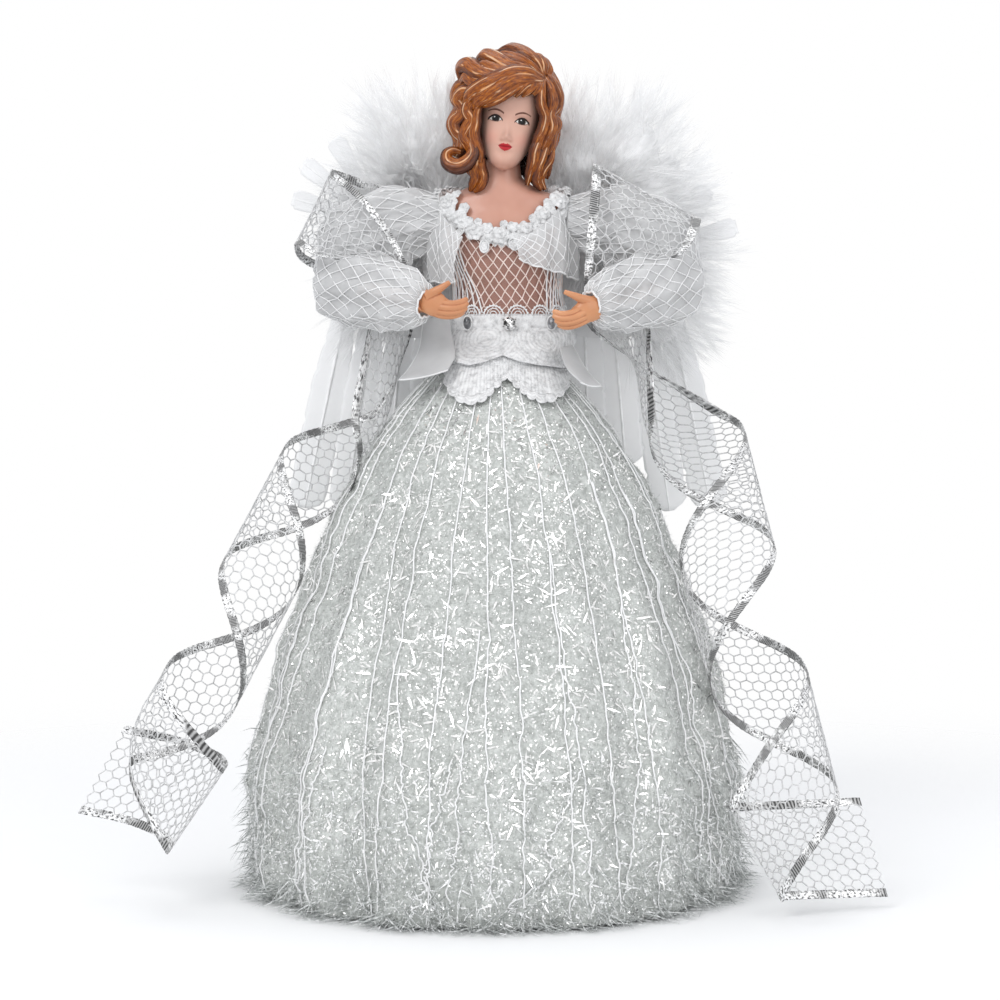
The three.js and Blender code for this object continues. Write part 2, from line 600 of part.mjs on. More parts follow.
// Peplum: cloth that leaves the belt as an oval and lies on the round skirt
function drape(angle, z, lift) {
  const share = THREE.MathUtils.smoothstep(beltBottom - z, 0, beltBottom - skirtTop);
  const row = bustRow(beltBottom);
  const round = skirtRadius(Math.min(z, skirtTop)) + skirt.foldDepth + lift;
  const wide = mix(bust.halfWidth * row[1] + beltGrow + lift, round, share);
  const deep = mix(bust.halfDepth * row[2] + beltGrow + lift, round, share);
  return point(mix(bust.waistAside, 0, share) + wide * Math.cos(angle), deep * Math.sin(angle), z);
}

function makePeplum() {
  const lift = gap + petal.wall + gap + peplum.wall;
  const top = beltBottom - gap;
  const columns = steps(peplum.sides).slice(1);
  const rows = steps(3).map((down) => columns.map((share) => {
    const wave = Math.abs(Math.sin(share * Math.PI * peplum.scallops));
    const low = bustAt(peplum.bottomShare) - peplum.scallop * wave;
    return drape(share * fullTurn, mix(top, low, down), lift);
  }));
  add(body, "peplum", sheet(rows, peplum.wall, true), "lace");
}

function makePetals() {
  for (const { name, turn, half, length, blunt, colour } of petals) {
    const rows = steps(7).map((share) => {
      const z = petalTop - share * length;
      const width = Math.sqrt(Math.max(1 - share ** (2 / blunt), 0.02));
      return steps(5).map((over) => {
        return drape(toRadians(turn - 90 + half * width * (2 * over - 1)), z, gap + petal.wall / 2);
      });
    });
    add(body, name, sheet(rows, petal.wall), colour);
  }
}

// Ribbons: rows over the arm, then a curl wound on a leaning axis, which hangs beside the skirt
const curlTop = (curl) => point(curl.asideShare * skirt.hemRadius, curl.back, axisTop);

function curlPoint(curl, down, share) {
  const climb = fullTurn * curl.radius / curl.lead;
  const away = Math.atan(climb);
  const halfTurn = ribbon.fitWidth / (curl.radius * Math.cos(away));
  const axis = point(curl.lean, -curl.forward, -1).normalize();
  const sideways = point(1, 0, 0).addScaledVector(axis, -axis.x).normalize();
  const crossways = point(0, 0, 0).crossVectors(axis, sideways);
  const sense = Math.sign(curl.lean);
  const angle = curl.turn + sense * (fullTurn * down / curl.lead - share * halfTurn);
  return curlTop(curl)
    .addScaledVector(axis, down)
    .addScaledVector(sideways, curl.radius * Math.cos(angle))
    .addScaledVector(crossways, curl.radius * Math.sin(angle));
}

function ribbonRows(side, from, to) {
  const name = side < 0 ? "left" : "right";
  const curl = curls[name];
  const placed = (table, start) => table.map((row) => row.map(([out, back, up]) => {
    return point(side * out, back, up).multiplyScalar(ribbon.width).add(start);
  }));
  const armRows = placed(rowShares[name], outward(side, 0, 0, shoulderHeight));
  const tailRows = placed(tailShares[name], curlTop(curl));
  const turns = Math.round((curl.end - curl.start) / curl.lead * ribbon.rowsPerTurn);
  const lines = steps(ribbon.across).map((over) => {
    const share = mix(from, to, over);
    const between = ([first, second]) => first.clone().lerp(second, share);
    const hanging = steps(turns).map((down) => {
      return curlPoint(curl, mix(curl.start + curl.lag * share, curl.end + curl.slant * share, down), share);
    });
    return new THREE.CatmullRomCurve3([...armRows.map(between), ...hanging, ...tailRows.map(between)],
      false, "centripetal");
  });
  const places = lines[0].points.length - 1;
  const bent = (i) => i < armRows.length || i >= places - tailRows.length;
  const stops = Array.from({ length: places }, (_, i) => (bent(i) ? [i, i + 0.5] : [i])).flat();
  return [...stops, places].map((stop) => lines.map((line) => line.getPoint(stop / places)));
}

const edgeShare = ribbon.edgeWidth / ribbon.width;
const ribbonGap = 2 * gap / ribbon.width;

function makeRibbon(side) {
  const name = side < 0 ? "left" : "right";
  const inner = edgeShare + ribbonGap;
  add(arms[name], name + "_ribbon_net", sheet(ribbonRows(side, inner, 1 - inner), ribbon.netWall), "net");
  const edges = { inner: [0, edgeShare], outer: [1 - edgeShare, 1] };
  for (const [place, [from, to]] of Object.entries(edges)) {
    const rows = ribbonRows(side, from, to).map((row) => [row[0], row[row.length - 1]]);
    add(arms[name], name + "_ribbon_" + place + "_edge", sheet(rows, ribbon.edgeWall), "foil");
  }
}

// Arms: wire, forearm with its hand, and the net sleeve round them
function makeArm(side) {
  const name = side < 0 ? "left" : "right";
  const group = arms[name];
  const at = (out, forward, z) => outward(side, out, -forward, z);
  const wrist = at(arm.wristOut, arm.wristForward, wristHeight);
  const elbow = at(arm.elbowOut, arm.elbowForward, elbowHeight);
  const shoulder = at(arm.shoulderOut, 0, shoulderHeight);

  const stub = at(arm.shoulderOut - socket.depth / 2, 0, shoulderHeight);
  const bend = elbow.clone().lerp(wrist, 0.3);
  const middle = shoulder.clone().lerp(elbow, 0.5);
  const wirePath = new THREE.CatmullRomCurve3([stub, shoulder, middle, elbow, bend]);
  const wireTube = (radius) => new THREE.ExtrudeGeometry(
    new THREE.Shape().absarc(0, 0, radius, 0, fullTurn, true),
    { steps: 12, curveSegments: arm.wireSides / 2, bevelEnabled: false, extrudePath: wirePath });
  add(group, name + "_arm_wire", wireTube(arm.wireRadius), "steel");

  const reach = wrist.clone().sub(elbow).normalize();
  const start = bend.clone().addScaledVector(reach, gap);
  const radius = arm.forearmRadius;
  const forearm = limb([start, start.clone().lerp(wrist, 0.5), wrist],
    [0.85 * radius, radius, 0.95 * radius], arm.sides);
  const length = arm.handLength;
  const knuckles = at(arm.wristOut - 0.55 * length, arm.wristForward + 0.15 * length, wristHeight);
  const palm = limb([wrist, wrist.clone().lerp(knuckles, 0.6), knuckles],
    [0.95 * radius, arm.handHalfHeight, 0.92 * arm.handHalfHeight], arm.sides,
    arm.handHalfDepth / arm.handHalfHeight);
  const spacing = 2 * arm.handHalfHeight / 4.4;
  const fingers = [1.5, 0.5, -0.5, -1.5].map((place) => {
    const root = knuckles.clone().add(point(side * 0.2 * length, 0, place * spacing));
    const bent = knuckles.clone().add(point(-side * 0.25 * length, -0.08 * length, place * spacing));
    const reachShare = arm.fingerShare - 0.04 * Math.abs(place);
    const tip = knuckles.clone().add(point(-side * reachShare * length, 0, 0.9 * place * spacing));
    const radii = [arm.fingerRadius, arm.fingerRadius, 0.7 * arm.fingerRadius];
    return limb([root, bent, tip], radii, arm.fingerSides);
  });
  const thumb = limb(thumbShares.map(([inward, forward, up]) => {
    const out = arm.wristOut - inward * length;
    return at(out, arm.wristForward + forward * length, wristHeight + up * arm.thumbRise);
  }), [arm.thumbRadius, 0.9 * arm.thumbRadius, 0.6 * arm.thumbRadius], arm.fingerSides);
  add(group, name + "_hand", shapeOf(joined([forearm, palm, thumb, ...fingers])), "hand");

  const swell = (angle) => 1 + sleeve.foldShare * Math.cos(sleeve.folds * angle);
  const puff = (shrink, spare) => limb([
    at(sleeve.start - spare, 0, shoulderHeight),
    at(sleeve.start + sleeve.shoulderRadius, 0, shoulderHeight - sleeve.wall),
    at(mix(sleeve.start, arm.elbowOut, 0.62), arm.elbowForward / 2,
      mix(shoulderHeight, elbowHeight, 0.4)),
    at(arm.elbowOut, arm.elbowForward, elbowHeight + sleeve.puffLift),
    at(arm.elbowOut + 0.5 * sleeve.elbowRadius, arm.elbowForward, elbowHeight + 0.5 * sleeve.puffLift),
  ], [sleeve.shoulderRadius, 0.88 * sleeve.puffRadius, sleeve.puffRadius, sleeve.elbowRadius,
    0.4 * sleeve.elbowRadius].map((r) => r - shrink), sleeve.sides, sleeve.puffFlatShare, swell);
  const lower = (shrink, spare) => limb([
    elbow.clone().addScaledVector(reach, -0.5 * sleeve.elbowRadius),
    elbow.clone(),
    elbow.clone().lerp(wrist, 0.35),
    elbow.clone().lerp(wrist, 0.7),
    wrist.clone().addScaledVector(reach, spare),
  ], [0.5 * sleeve.elbowRadius, 0.95 * sleeve.elbowRadius, 0.95 * sleeve.elbowRadius,
    mix(sleeve.cuffRadius, sleeve.elbowRadius, 0.35), sleeve.cuffRadius]
    .map((r) => r - shrink), sleeve.sides, sleeve.cuffFlatShare, swell);
  // The shoulder end is gathered in to the wire, and a slot in the crook takes the ribbon
  const slotRows = ribbonRows(side, -edgeShare, 1 + edgeShare).slice(0, 2 * rowShares[name].length);
  const slot = sheet(slotRows, ribbon.edgeWall + 2 * ribbon.slot);
  const made = joined([puff(0, 0), lower(0, 0)])
    .subtract(joined([puff(sleeve.wall, -sleeve.wall), lower(sleeve.wall, overrun)]))
    .subtract(solid(wireTube(arm.wireRadius + gap)))
    .subtract(solid(slot));
  const bodies = made.decompose().sort((a, b) => b.volume() - a.volume());
  add(group, name + "_sleeve", shapeOf(bodies[0]), "net");
}

// Wings: a pad on the back, and on each side a card, down and quills
const padBack = bust.halfDepth + 2 * gap + net.wall + wing.pad;
const wingPlace = (side, out, back, up) => point(arm.middle + side * out, back, wingRoot + up);

function makePad() {
  const centre = point(arm.middle, padBack - wing.pad / 2, bustAt(wing.padShare) + wing.padHeight / 2);
  const pad = block(2 * wing.padHalfWidth, 2 * wing.pad, wing.padHeight, centre);
  const cutBack = block(4 * wing.padHalfWidth, wing.pad, 2 * wing.padHeight,
    centre.clone().add(point(0, wing.pad, 0)));
  const cloth = solid(loft(bustHeights.map((z) => bustRing(z, gap + net.wall + gap))));
  add(body, "wing_pad", shapeOf(solid(pad).subtract(solid(cutBack)).subtract(cloth)), "cloth");
}

function flat(outline, wall, side, back) {
  const shape = new THREE.Shape(outline.map(([out, up]) => new THREE.Vector2(side * out, up)));
  return new THREE.ExtrudeGeometry(shape, { depth: wall, bevelEnabled: false, curveSegments: 6 })
    .rotateX(Math.PI / 2)
    .translate(arm.middle, back + wall, wingRoot);
}

function quillOutline(length, halfWidth, blunt) {
  const edge = steps(6).map((share) => {
    const round = Math.sqrt(Math.max(0, 1.02 - share ** blunt));
    const width = halfWidth * Math.min(1, round * mix(0.3, 1.7, share));
    return [Math.max(width, 0.12 * halfWidth), -share * length];
  });
  return [...edge, ...edge.map(([wide, down]) => [-wide, down]).reverse()];
}

function turned(outline, degrees, out, up) {
  const angle = toRadians(degrees);
  return outline.map(([x, z]) => [
    out + x * Math.cos(angle) - z * Math.sin(angle), up + x * Math.sin(angle) + z * Math.cos(angle)]);
}

function makeWing(side) {
  const name = side < 0 ? "left" : "right";
  const cardBack = padBack + gap;
  const curve = new THREE.CatmullRomCurve3(cardShares.map(([out, up]) => {
    return point(wing.rootOut + out * wing.reach, up * wing.top, 0);
  }), true);
  const outline = curve.getPoints(32).slice(0, -1).map((p) => [Math.max(p.x, gap), p.y]);
  const card = flat(outline, wing.cardWall, side, cardBack);
  add(body, name + "_wing_card", card, "cloth");

  const tufts = tuftShares.map(([out, up, size]) => {
    const radius = size * wing.downRadius;
    const centre = wingPlace(side, wing.rootOut + out * wing.reach, cardBack - gap, up * wing.top);
    return new THREE.SphereGeometry(1, 10, 6).rotateX(Math.PI / 2)
      .scale(radius, wing.downDepth, radius).translate(...centre.toArray());
  });
  const behind = block(4 * wing.reach, 4 * wing.downDepth, 6 * wing.top,
    point(0, cardBack - gap + 2 * wing.downDepth, wingRoot));
  const padSpace = block(2 * (wing.padHalfWidth + gap), 4 * wing.pad, wing.padHeight + 2 * gap,
    point(arm.middle, padBack - wing.pad / 2, bustAt(wing.padShare) + wing.padHeight / 2));
  const other = block(2 * wing.reach, 4 * wing.downDepth, 6 * wing.top,
    point(arm.middle - side * (wing.reach - gap), cardBack, wingRoot));
  const down = joined(tufts).subtract(joined([behind, padSpace, other]));
  const bodies = down.decompose().sort((a, b) => b.volume() - a.volume());
  add(body, name + "_wing_down", shapeOf(bodies[0]), "down");

  quillShares.forEach(([out, up, long, lean], i) => {
    const shape = turned(quillOutline(long * wing.quillLength, wing.quillHalfWidth, 6), lean,
      wing.rootOut + out * wing.reach, up * wing.top);
    const back = cardBack + wing.cardWall + gap + i * (wing.quillWall + gap);
    add(body, name + "_quill_" + (i + 1), flat(shape, wing.quillWall, side, back), "quill");
  });
  for (let i = 0; i < wing.tips; i += 1) {
    const share = i / (wing.tips - 1);
    const shape = turned(quillOutline(wing.tipLength, wing.tipHalfWidth, 12), mix(150, 105, share),
      wing.rootOut + mix(0.72, 0.9, share) * wing.reach, mix(0.7, 0.5, share) * wing.top);
    const tip = flat(shape, wing.quillWall, side, cardBack + wing.cardWall + gap);
    add(body, name + "_tip_feather_" + (i + 1), tip, "quill");
  }
}

makeCone();
makeUnderskirt();
makeSkirt();
makeBust();
makeHead();
makeHair();
makeBodice();
makeNeckline();
makeCapes();
makeBelt();
makeStones();
makePeplum();
makePetals();
makePad();
for (const side of [-1, 1]) {
  makeArm(side);
  makeRibbon(side);
  makeWing(side);
}

export default angel;
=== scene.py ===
# Angel tree topper, dressed: a doll in net and lace, feather wings, curling ribbons and a tinsel skirt
import math

import bpy
import numpy as np
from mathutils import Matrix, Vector, noise


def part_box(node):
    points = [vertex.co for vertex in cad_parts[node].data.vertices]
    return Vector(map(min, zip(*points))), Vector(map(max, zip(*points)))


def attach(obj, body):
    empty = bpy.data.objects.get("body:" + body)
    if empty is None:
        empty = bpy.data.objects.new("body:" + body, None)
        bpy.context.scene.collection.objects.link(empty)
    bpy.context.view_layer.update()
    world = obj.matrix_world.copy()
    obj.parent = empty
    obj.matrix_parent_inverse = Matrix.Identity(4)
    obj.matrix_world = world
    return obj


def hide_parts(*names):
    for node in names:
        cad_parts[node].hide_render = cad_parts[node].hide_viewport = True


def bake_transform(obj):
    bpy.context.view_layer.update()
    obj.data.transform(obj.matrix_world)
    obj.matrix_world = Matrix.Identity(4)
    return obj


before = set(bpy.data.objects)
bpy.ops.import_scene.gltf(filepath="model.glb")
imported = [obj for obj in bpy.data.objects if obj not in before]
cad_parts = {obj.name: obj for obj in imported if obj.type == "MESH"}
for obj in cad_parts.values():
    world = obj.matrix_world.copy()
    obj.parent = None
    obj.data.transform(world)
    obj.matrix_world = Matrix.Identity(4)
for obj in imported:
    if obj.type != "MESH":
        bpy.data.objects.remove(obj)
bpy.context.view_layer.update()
print("frame loaded")

mm = 0.001
fullTurn = 2 * math.pi
sides = {"left": -1, "right": 1}
chance = np.random.default_rng(7)

# Places below are in millimetres from the cone's axis, at the heights that the frame was built with
coneHeight = 188
coneLow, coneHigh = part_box("topper_cone")
origin = np.array([(coneLow.x + coneHigh.x) / 2, 0, coneHigh.z - coneHeight * mm])


def place(points):
    return np.asarray(points, float).reshape(-1, 3) * mm + origin


def unit(vectors):
    return vectors / np.maximum(np.linalg.norm(vectors, axis=-1, keepdims=True), 1e-9)


def mix(low, high, share):
    return low + (high - low) * share


def smoothstep(low, high, value):
    share = np.clip((value - low) / (high - low), 0, 1)
    return share * share * (3 - 2 * share)


def bell(value, middle, width):
    return np.exp(-((value - middle) / width) ** 2)


def turns(count):
    return np.arange(count) / count * fullTurn


def crossed(rows, columns):
    return np.meshgrid(rows, columns, indexing="ij")


# A smooth line through a table's values
def smoothLine(xs, ys):
    xs, ys = np.array(xs, float), np.array(ys, float)
    slopes = np.gradient(ys, xs)

    def at(x):
        x = np.clip(x, xs[0], xs[-1])
        i = np.clip(np.searchsorted(xs, x) - 1, 0, len(xs) - 2)
        step = xs[i + 1] - xs[i]
        t = (x - xs[i]) / step
        return ((2 * t**3 - 3 * t**2 + 1) * ys[i] + (t**3 - 2 * t**2 + t) * step * slopes[i]
                + (3 * t**2 - 2 * t**3) * ys[i + 1] + (t**3 - t**2) * step * slopes[i + 1])

    return at


# A curve through points, with its knots spaced by the root of each step; each segment is cut alike
def curveThrough(points, cuts):
    points = np.asarray(points, float)
    padded = np.vstack([2 * points[0] - points[1], points, 2 * points[-1] - points[-2]])
    shares = np.arange(cuts)[:, None] / cuts
    pieces = []
    for i in range(len(points) - 1):
        p0, p1, p2, p3 = padded[i:i + 4]
        d0, d1, d2 = (max(np.linalg.norm(b - a) ** 0.5, 1e-4) for a, b in ((p0, p1), (p1, p2), (p2, p3)))
        t1 = ((p1 - p0) / d0 - (p2 - p0) / (d0 + d1) + (p2 - p1) / d1) * d1
        t2 = ((p2 - p1) / d1 - (p3 - p1) / (d1 + d2) + (p3 - p2) / d2) * d1
        pieces.append(p1 + t1 * shares + (3 * (p2 - p1) - 2 * t1 - t2) * shares**2
                      + (2 * (p1 - p2) + t1 + t2) * shares**3)
    return np.vstack(pieces + [points[-1:]])


# Meshes
def readMesh(values, label, width=3, kind=float):
    read = np.zeros(len(values) * width, kind)
    values.foreach_get(label, read)
    return read.reshape(-1, width) if width > 1 else read


def coordinates(mesh):
    return readMesh(mesh.vertices, "co")


def turnOut(mesh, heart):
    faces = mesh.polygons
    away = ((readMesh(faces, "center") - heart) * readMesh(faces, "normal")).sum(1)
    if away @ readMesh(faces, "area", 1) < 0:
        mesh.flip_normals()


def addPiece(name, mesh):
    piece = bpy.data.objects.new(name, mesh)
    bpy.context.scene.collection.objects.link(piece)
    return piece


def meshPiece(name, points, faces, paint=None, edges=(), uvs=None, smooth=True, heart=None):
    mesh = bpy.data.meshes.new(name)
    points = place(points)
    mesh.from_pydata(points.tolist(), list(edges), [list(f) for f in faces])
    mesh.validate()
    if len(faces):
        turnOut(mesh, points.mean(0) if heart is None else place([heart])[0])
    if uvs is not None:
        corners = readMesh(mesh.loops, "vertex_index", 1, np.int32)
        mesh.uv_layers.new(name="UVMap").data.foreach_set("uv", np.asarray(uvs, np.float32)[corners].ravel())
    if paint:
        mesh.materials.append(mats[paint])
    if smooth:
        mesh.shade_smooth()
    return addPiece(name, mesh)


def finish(piece, slot, *nodes, body="root"):
    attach(piece, body)
    if nodes:
        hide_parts(*nodes)
    return piece


def keepValues(piece, name, kind, field, values):
    layer = piece.data.attributes.new(name, kind, "POINT")
    layer.data.foreach_set(field, np.asarray(values, np.float32).ravel())


def gridFaces(rows, columns, closed=False, start=0):
    last = columns if closed else columns - 1
    i, j = crossed(np.arange(rows - 1), np.arange(last))
    after = (j + 1) % columns
    quads = np.stack([i * columns + j, i * columns + after, (i + 1) * columns + after, (i + 1) * columns + j], -1)
    return (quads.reshape(-1, 4) + start).tolist()


def gridPiece(name, grid, paint, closed=False, long=1):
    v, u = crossed(np.linspace(0, 1, grid.shape[0]), np.linspace(0, 1, grid.shape[1]))
    heart = None if closed else (0, 0, grid[..., 2].mean())
    return meshPiece(name, grid, gridFaces(*grid.shape[:2], closed), paint,
                     uvs=np.stack([u.ravel(), v.ravel() * long], -1), heart=heart)


# A ring's fan to one point, and a form of rings that is closed with such fans
def fan(tip, start, columns, inward=False):
    step = np.arange(columns)[:, None]
    ends = [start + (step + 1) % columns, start + step] if inward else [start + step, start + (step + 1) % columns]
    return np.hstack([np.full((columns, 1), tip)] + ends).tolist()


def closedForm(grid):
    rows, columns = grid.shape[:2]
    count = rows * columns
    return (np.vstack([grid.reshape(-1, 3), grid[0].mean(0)[None], grid[-1].mean(0)[None]]),
            gridFaces(rows, columns, True) + fan(count, 0, columns, True) + fan(count + 1, count - columns, columns))


def joinParts(parts):
    points, faces, count = [], [], 0
    for somePoints, someFaces in parts:
        points.append(np.asarray(somePoints, float).reshape(-1, 3))
        faces += [[k + count for k in f] for f in someFaces]
        count += len(points[-1])
    return np.vstack(points), faces


def partsPiece(name, parts, paint, slot, *nodes, body="root"):
    return finish(meshPiece(name, *joinParts(parts), paint), slot, *nodes, body=body)


def addThickness(piece, wall, offset=0):
    solid = piece.modifiers.new("wall", "SOLIDIFY")
    solid.thickness, solid.offset = wall * mm, offset
    return piece


# Rings round a path, whose section stays as upright as it can; grow(turn, i) is the reach at each ring
def ringsAlong(path, columns, grow, flat, side):
    path = np.asarray(path, float)
    tangents = unit(np.gradient(path, axis=0))
    start = np.array(side, float)
    turn = turns(columns)
    rings = []
    for i, middle in enumerate(path):
        start = start - np.dot(start, tangents[i]) * tangents[i]
        start = start / max(np.linalg.norm(start), 1e-9)
        across = np.cross(tangents[i], start)
        reach = grow(turn, i)
        rings.append(middle + np.outer(np.cos(turn) * reach, start) + np.outer(np.sin(turn) * reach * flat, across))
    return np.array(rings)


# A closed tube along a path; swell(turn, along) shapes its section
def sweep(path, radii, columns=10, flat=1, side=None, swell=None):
    path = np.asarray(path, float)
    last = len(path) - 1
    radii = np.broadcast_to(radii, len(path))
    grow = lambda turn, i: radii[i] * (1 if swell is None else swell(turn, i / last))
    rings = ringsAlong(path, columns, grow, flat, (0.3, 0.2, 1.0) if side is None else side)
    count = len(path) * columns
    return (np.vstack([rings.reshape(-1, 3), path[:1], path[-1:]]),
            gridFaces(len(path), columns, True) + fan(count, 0, columns, True) + fan(count + 1, count - columns, columns))


def cord(path, radius, columns=6):
    return sweep(path, radius, columns)


def ringCord(path, radius, columns=6):
    return sweep(np.vstack([path, path[:2]]), radius, columns)


def remeshed(piece, voxel, smoothing=2, factor=0.5):
    cut = piece.modifiers.new("remesh", "REMESH")
    cut.mode, cut.voxel_size = "VOXEL", voxel * mm
    soften = piece.modifiers.new("smooth", "SMOOTH")
    soften.iterations, soften.factor = smoothing, factor
    graph = bpy.context.evaluated_depsgraph_get()
    made = bpy.data.meshes.new_from_object(piece.evaluated_get(graph), depsgraph=graph)
    piece.modifiers.clear()
    piece.data = made
    made.shade_smooth()


# How deep each point lies in a groove, from 0 on a ridge to 1 in a crevice; the hand's paint darkens the grooves by it,
# as painted shade
def keepGrooves(piece, rounds, reach):
    mesh = piece.data
    points = coordinates(mesh)
    ends = readMesh(mesh.edges, "vertices", 2, np.int32)
    count = np.bincount(ends.ravel(), minlength=len(points))[:, None]
    soft = points.copy()
    for _ in range(rounds):
        total = np.zeros_like(soft)
        np.add.at(total, ends[:, 0], soft[ends[:, 1]])
        np.add.at(total, ends[:, 1], soft[ends[:, 0]])
        soft = total / np.maximum(count, 1)
    depth = ((soft - points) * readMesh(mesh.vertex_normals, "vector")).sum(1) / (reach * mm)
    keepValues(piece, "groove", "FLOAT", "value", np.clip(0.5 + 0.5 * depth, 0, 1))


# Nodes: each value is a number or another node's socket
def addNode(tree, kind, values=None, **settings):
    node = tree.nodes.new(kind)
    for label, value in settings.items():
        setattr(node, label, value)
    for label, value in (values or {}).items():
        if isinstance(value, bpy.types.NodeSocket):
            tree.links.new(value, node.inputs[label])
        else:
            node.inputs[label].default_value = value
    return node


# A colour is a grey or a red, green and blue of 0 to 255, or four linear values
def tint(colour):
    colour = (colour,) * 3 if isinstance(colour, (int, float)) else colour
    if len(colour) == 4:
        return colour
    return tuple(((c / 255 + 0.055) / 1.055) ** 2.4 if c > 10 else c / 255 / 12.92 for c in colour) + (1,)


class Paint:
    def __init__(self, name, colour, roughness, metallic=0, **sockets):
        self.material = bpy.data.materials.new(name)
        self.material.use_nodes = True
        self.shader = self.material.node_tree.nodes["Principled BSDF"].inputs
        self.shader["Base Color"].default_value = tint(colour)
        for label, value in dict(Roughness=roughness, Metallic=metallic, **sockets).items():
            self.shader[label.replace("_", " ")].default_value = value

    def add(self, kind, values=None, **settings):
        return addNode(self.material.node_tree, kind, values, **settings)

    def link(self, source, label):
        self.material.node_tree.links.new(source, self.shader[label])
        return self

    def objectPoints(self, stretch=(1, 1, 1), uv=False):
        source = self.add("ShaderNodeTexCoord").outputs["UV" if uv else "Object"]
        return self.add("ShaderNodeMapping", {"Vector": source, "Scale": stretch}).outputs["Vector"]

    def noise(self, scale, detail=3, points=None, rough=0.5):
        return self.add("ShaderNodeTexNoise", {"Scale": scale, "Detail": detail, "Roughness": rough,
                                               "Vector": points or self.objectPoints()}).outputs["Fac"]

    def wave(self, scale, distortion=0, points=None, direction="X"):
        return self.add("ShaderNodeTexWave", {"Scale": scale, "Distortion": distortion,
                                              "Vector": points or self.objectPoints()},
                        bands_direction=direction).outputs["Fac"]

    def attribute(self, name, output="Fac"):
        return self.add("ShaderNodeAttribute", attribute_name=name).outputs[output]

    def ramp(self, value, *stops):
        node = self.add("ShaderNodeValToRGB", {"Fac": value})
        while len(node.color_ramp.elements) < len(stops):
            node.color_ramp.elements.new(0.5)
        for element, (at, colour) in zip(node.color_ramp.elements, stops):
            element.position = at
            element.color = tint(colour)
        return node.outputs["Color"]

    def blend(self, first, second, how="MULTIPLY", amount=1.0):
        return self.add("ShaderNodeMix", {0: amount, 6: first, 7: second}, data_type="RGBA",
                        blend_type=how).outputs[2]

    def colour(self, value):
        return self.link(value, "Base Color")

    def tones(self, scale, detail, *stops, **more):
        return self.colour(self.ramp(self.noise(scale, detail, **more), *stops))

    def sheen(self, value, low, high):
        spread = self.add("ShaderNodeMapRange", {"Value": value, "To Min": low, "To Max": high})
        return self.link(spread.outputs["Result"], "Roughness")

    def bump(self, value, depth, strength=1.0):
        values = {"Distance": depth * mm, "Strength": strength, "Height": value}
        if self.shader["Normal"].is_linked:
            values["Normal"] = self.shader["Normal"].links[0].from_socket
        return self.link(self.add("ShaderNodeBump", values).outputs["Normal"], "Normal")


paints = {}


def skinPaint(key, colour, shade):
    paint = paints[key] = Paint(key + "Paint", colour, 0.38, Subsurface_Weight=0.08, Subsurface_Scale=0.002,
                                Subsurface_Radius=(1, 0.4, 0.25), Coat_Weight=0.15)
    mottled = paint.ramp(paint.noise(90, 2), (0.3, shade), (0.7, colour))
    # painted shade: the hands' grooves and creases are darkened from the groove attribute
    creases = paint.ramp(paint.attribute("groove"), (0.5, 255), (0.6, (0.74, 0.6, 0.5, 1)), (0.78, (0.34, 0.2, 0.13, 1)))
    paint.colour(paint.blend(mottled, creases)).sheen(paint.noise(400, 3), 0.3, 0.48)
    paint.bump(paint.noise(900, 2), 0.02, 0.3)


def facePaint():
    paint = paints["face"] = Paint("facePaint", (224, 172, 150), 0.36, Subsurface_Weight=0.06, Subsurface_Scale=0.002,
                                   Subsurface_Radius=(1, 0.4, 0.25), Specular_IOR_Level=0.22)
    mottle = paint.ramp(paint.noise(150, 2), (0.3, (0.96, 0.95, 0.95, 1)), (0.7, 255))
    paint.colour(paint.blend(paint.attribute("tone", "Color"), mottle)).sheen(paint.noise(400, 3), 0.28, 0.45)
    paint.bump(paint.noise(900, 2), 0.015, 0.3)


def hairPaint():
    paint = paints["hair"] = Paint("hairPaint", (150, 80, 22), 0.28, Coat_Weight=0.22, Coat_Roughness=0.08,
                                   Specular_IOR_Level=0.3)
    strands = paint.attribute("strand", "Vector")
    tone = paint.ramp(paint.noise(4, 4, strands, 0.6), (0.34, (96, 40, 3)), (0.52, (150, 76, 7)),
                      (0.66, (182, 103, 17)), (0.76, (226, 160, 84)))
    ridge = paint.attribute("ridge")
    # painted shade: each lock darkens towards its flanks, away from its crest
    side = paint.ramp(ridge, (0.25, (0.1, 0.06, 0.04, 1)), (0.66, (0.4, 0.32, 0.28, 1)), (0.93, 255))
    # painted highlights: thin pale lines along each lock's crest, broken up by noise
    lines = paint.ramp(ridge, (0.87, 0), (0.9, 255), (0.93, 255), (0.96, 0))
    broken = paint.ramp(paint.noise(1.1, 3, strands, 0.6), (0.5, 0), (0.56, 235))
    pale = paint.ramp(paint.noise(3, 2, strands), (0.3, (236, 172, 112)), (0.7, (252, 216, 178)))
    paint.colour(paint.blend(paint.blend(tone, side), pale, "MIX", paint.blend(lines, broken)))
    paint.sheen(paint.noise(7, 2, strands), 0.16, 0.3).bump(paint.noise(5, 3, strands, 0.6), 0.4, 0.9)


def threadPaint(key, low, high):
    paint = paints[key] = Paint(key + "Paint", high, 0.85, Sheen_Weight=0.2).tones(500, 2, (0.3, low), (0.7, high))
    paint.bump(paint.wave(1500, 2), 0.05, 0.5)


def clothPaint(key, low, high, weave=900, alpha=1.0, roughness=0.8):
    paint = paints[key] = Paint(key + "Paint", high, roughness, Sheen_Weight=0.25, Alpha=alpha)
    paint.tones(70, 4, (0.3, low), (0.7, high))
    for direction in "XZ":
        paint.bump(paint.wave(weave, 0.6, direction=direction), 0.05, 0.5)


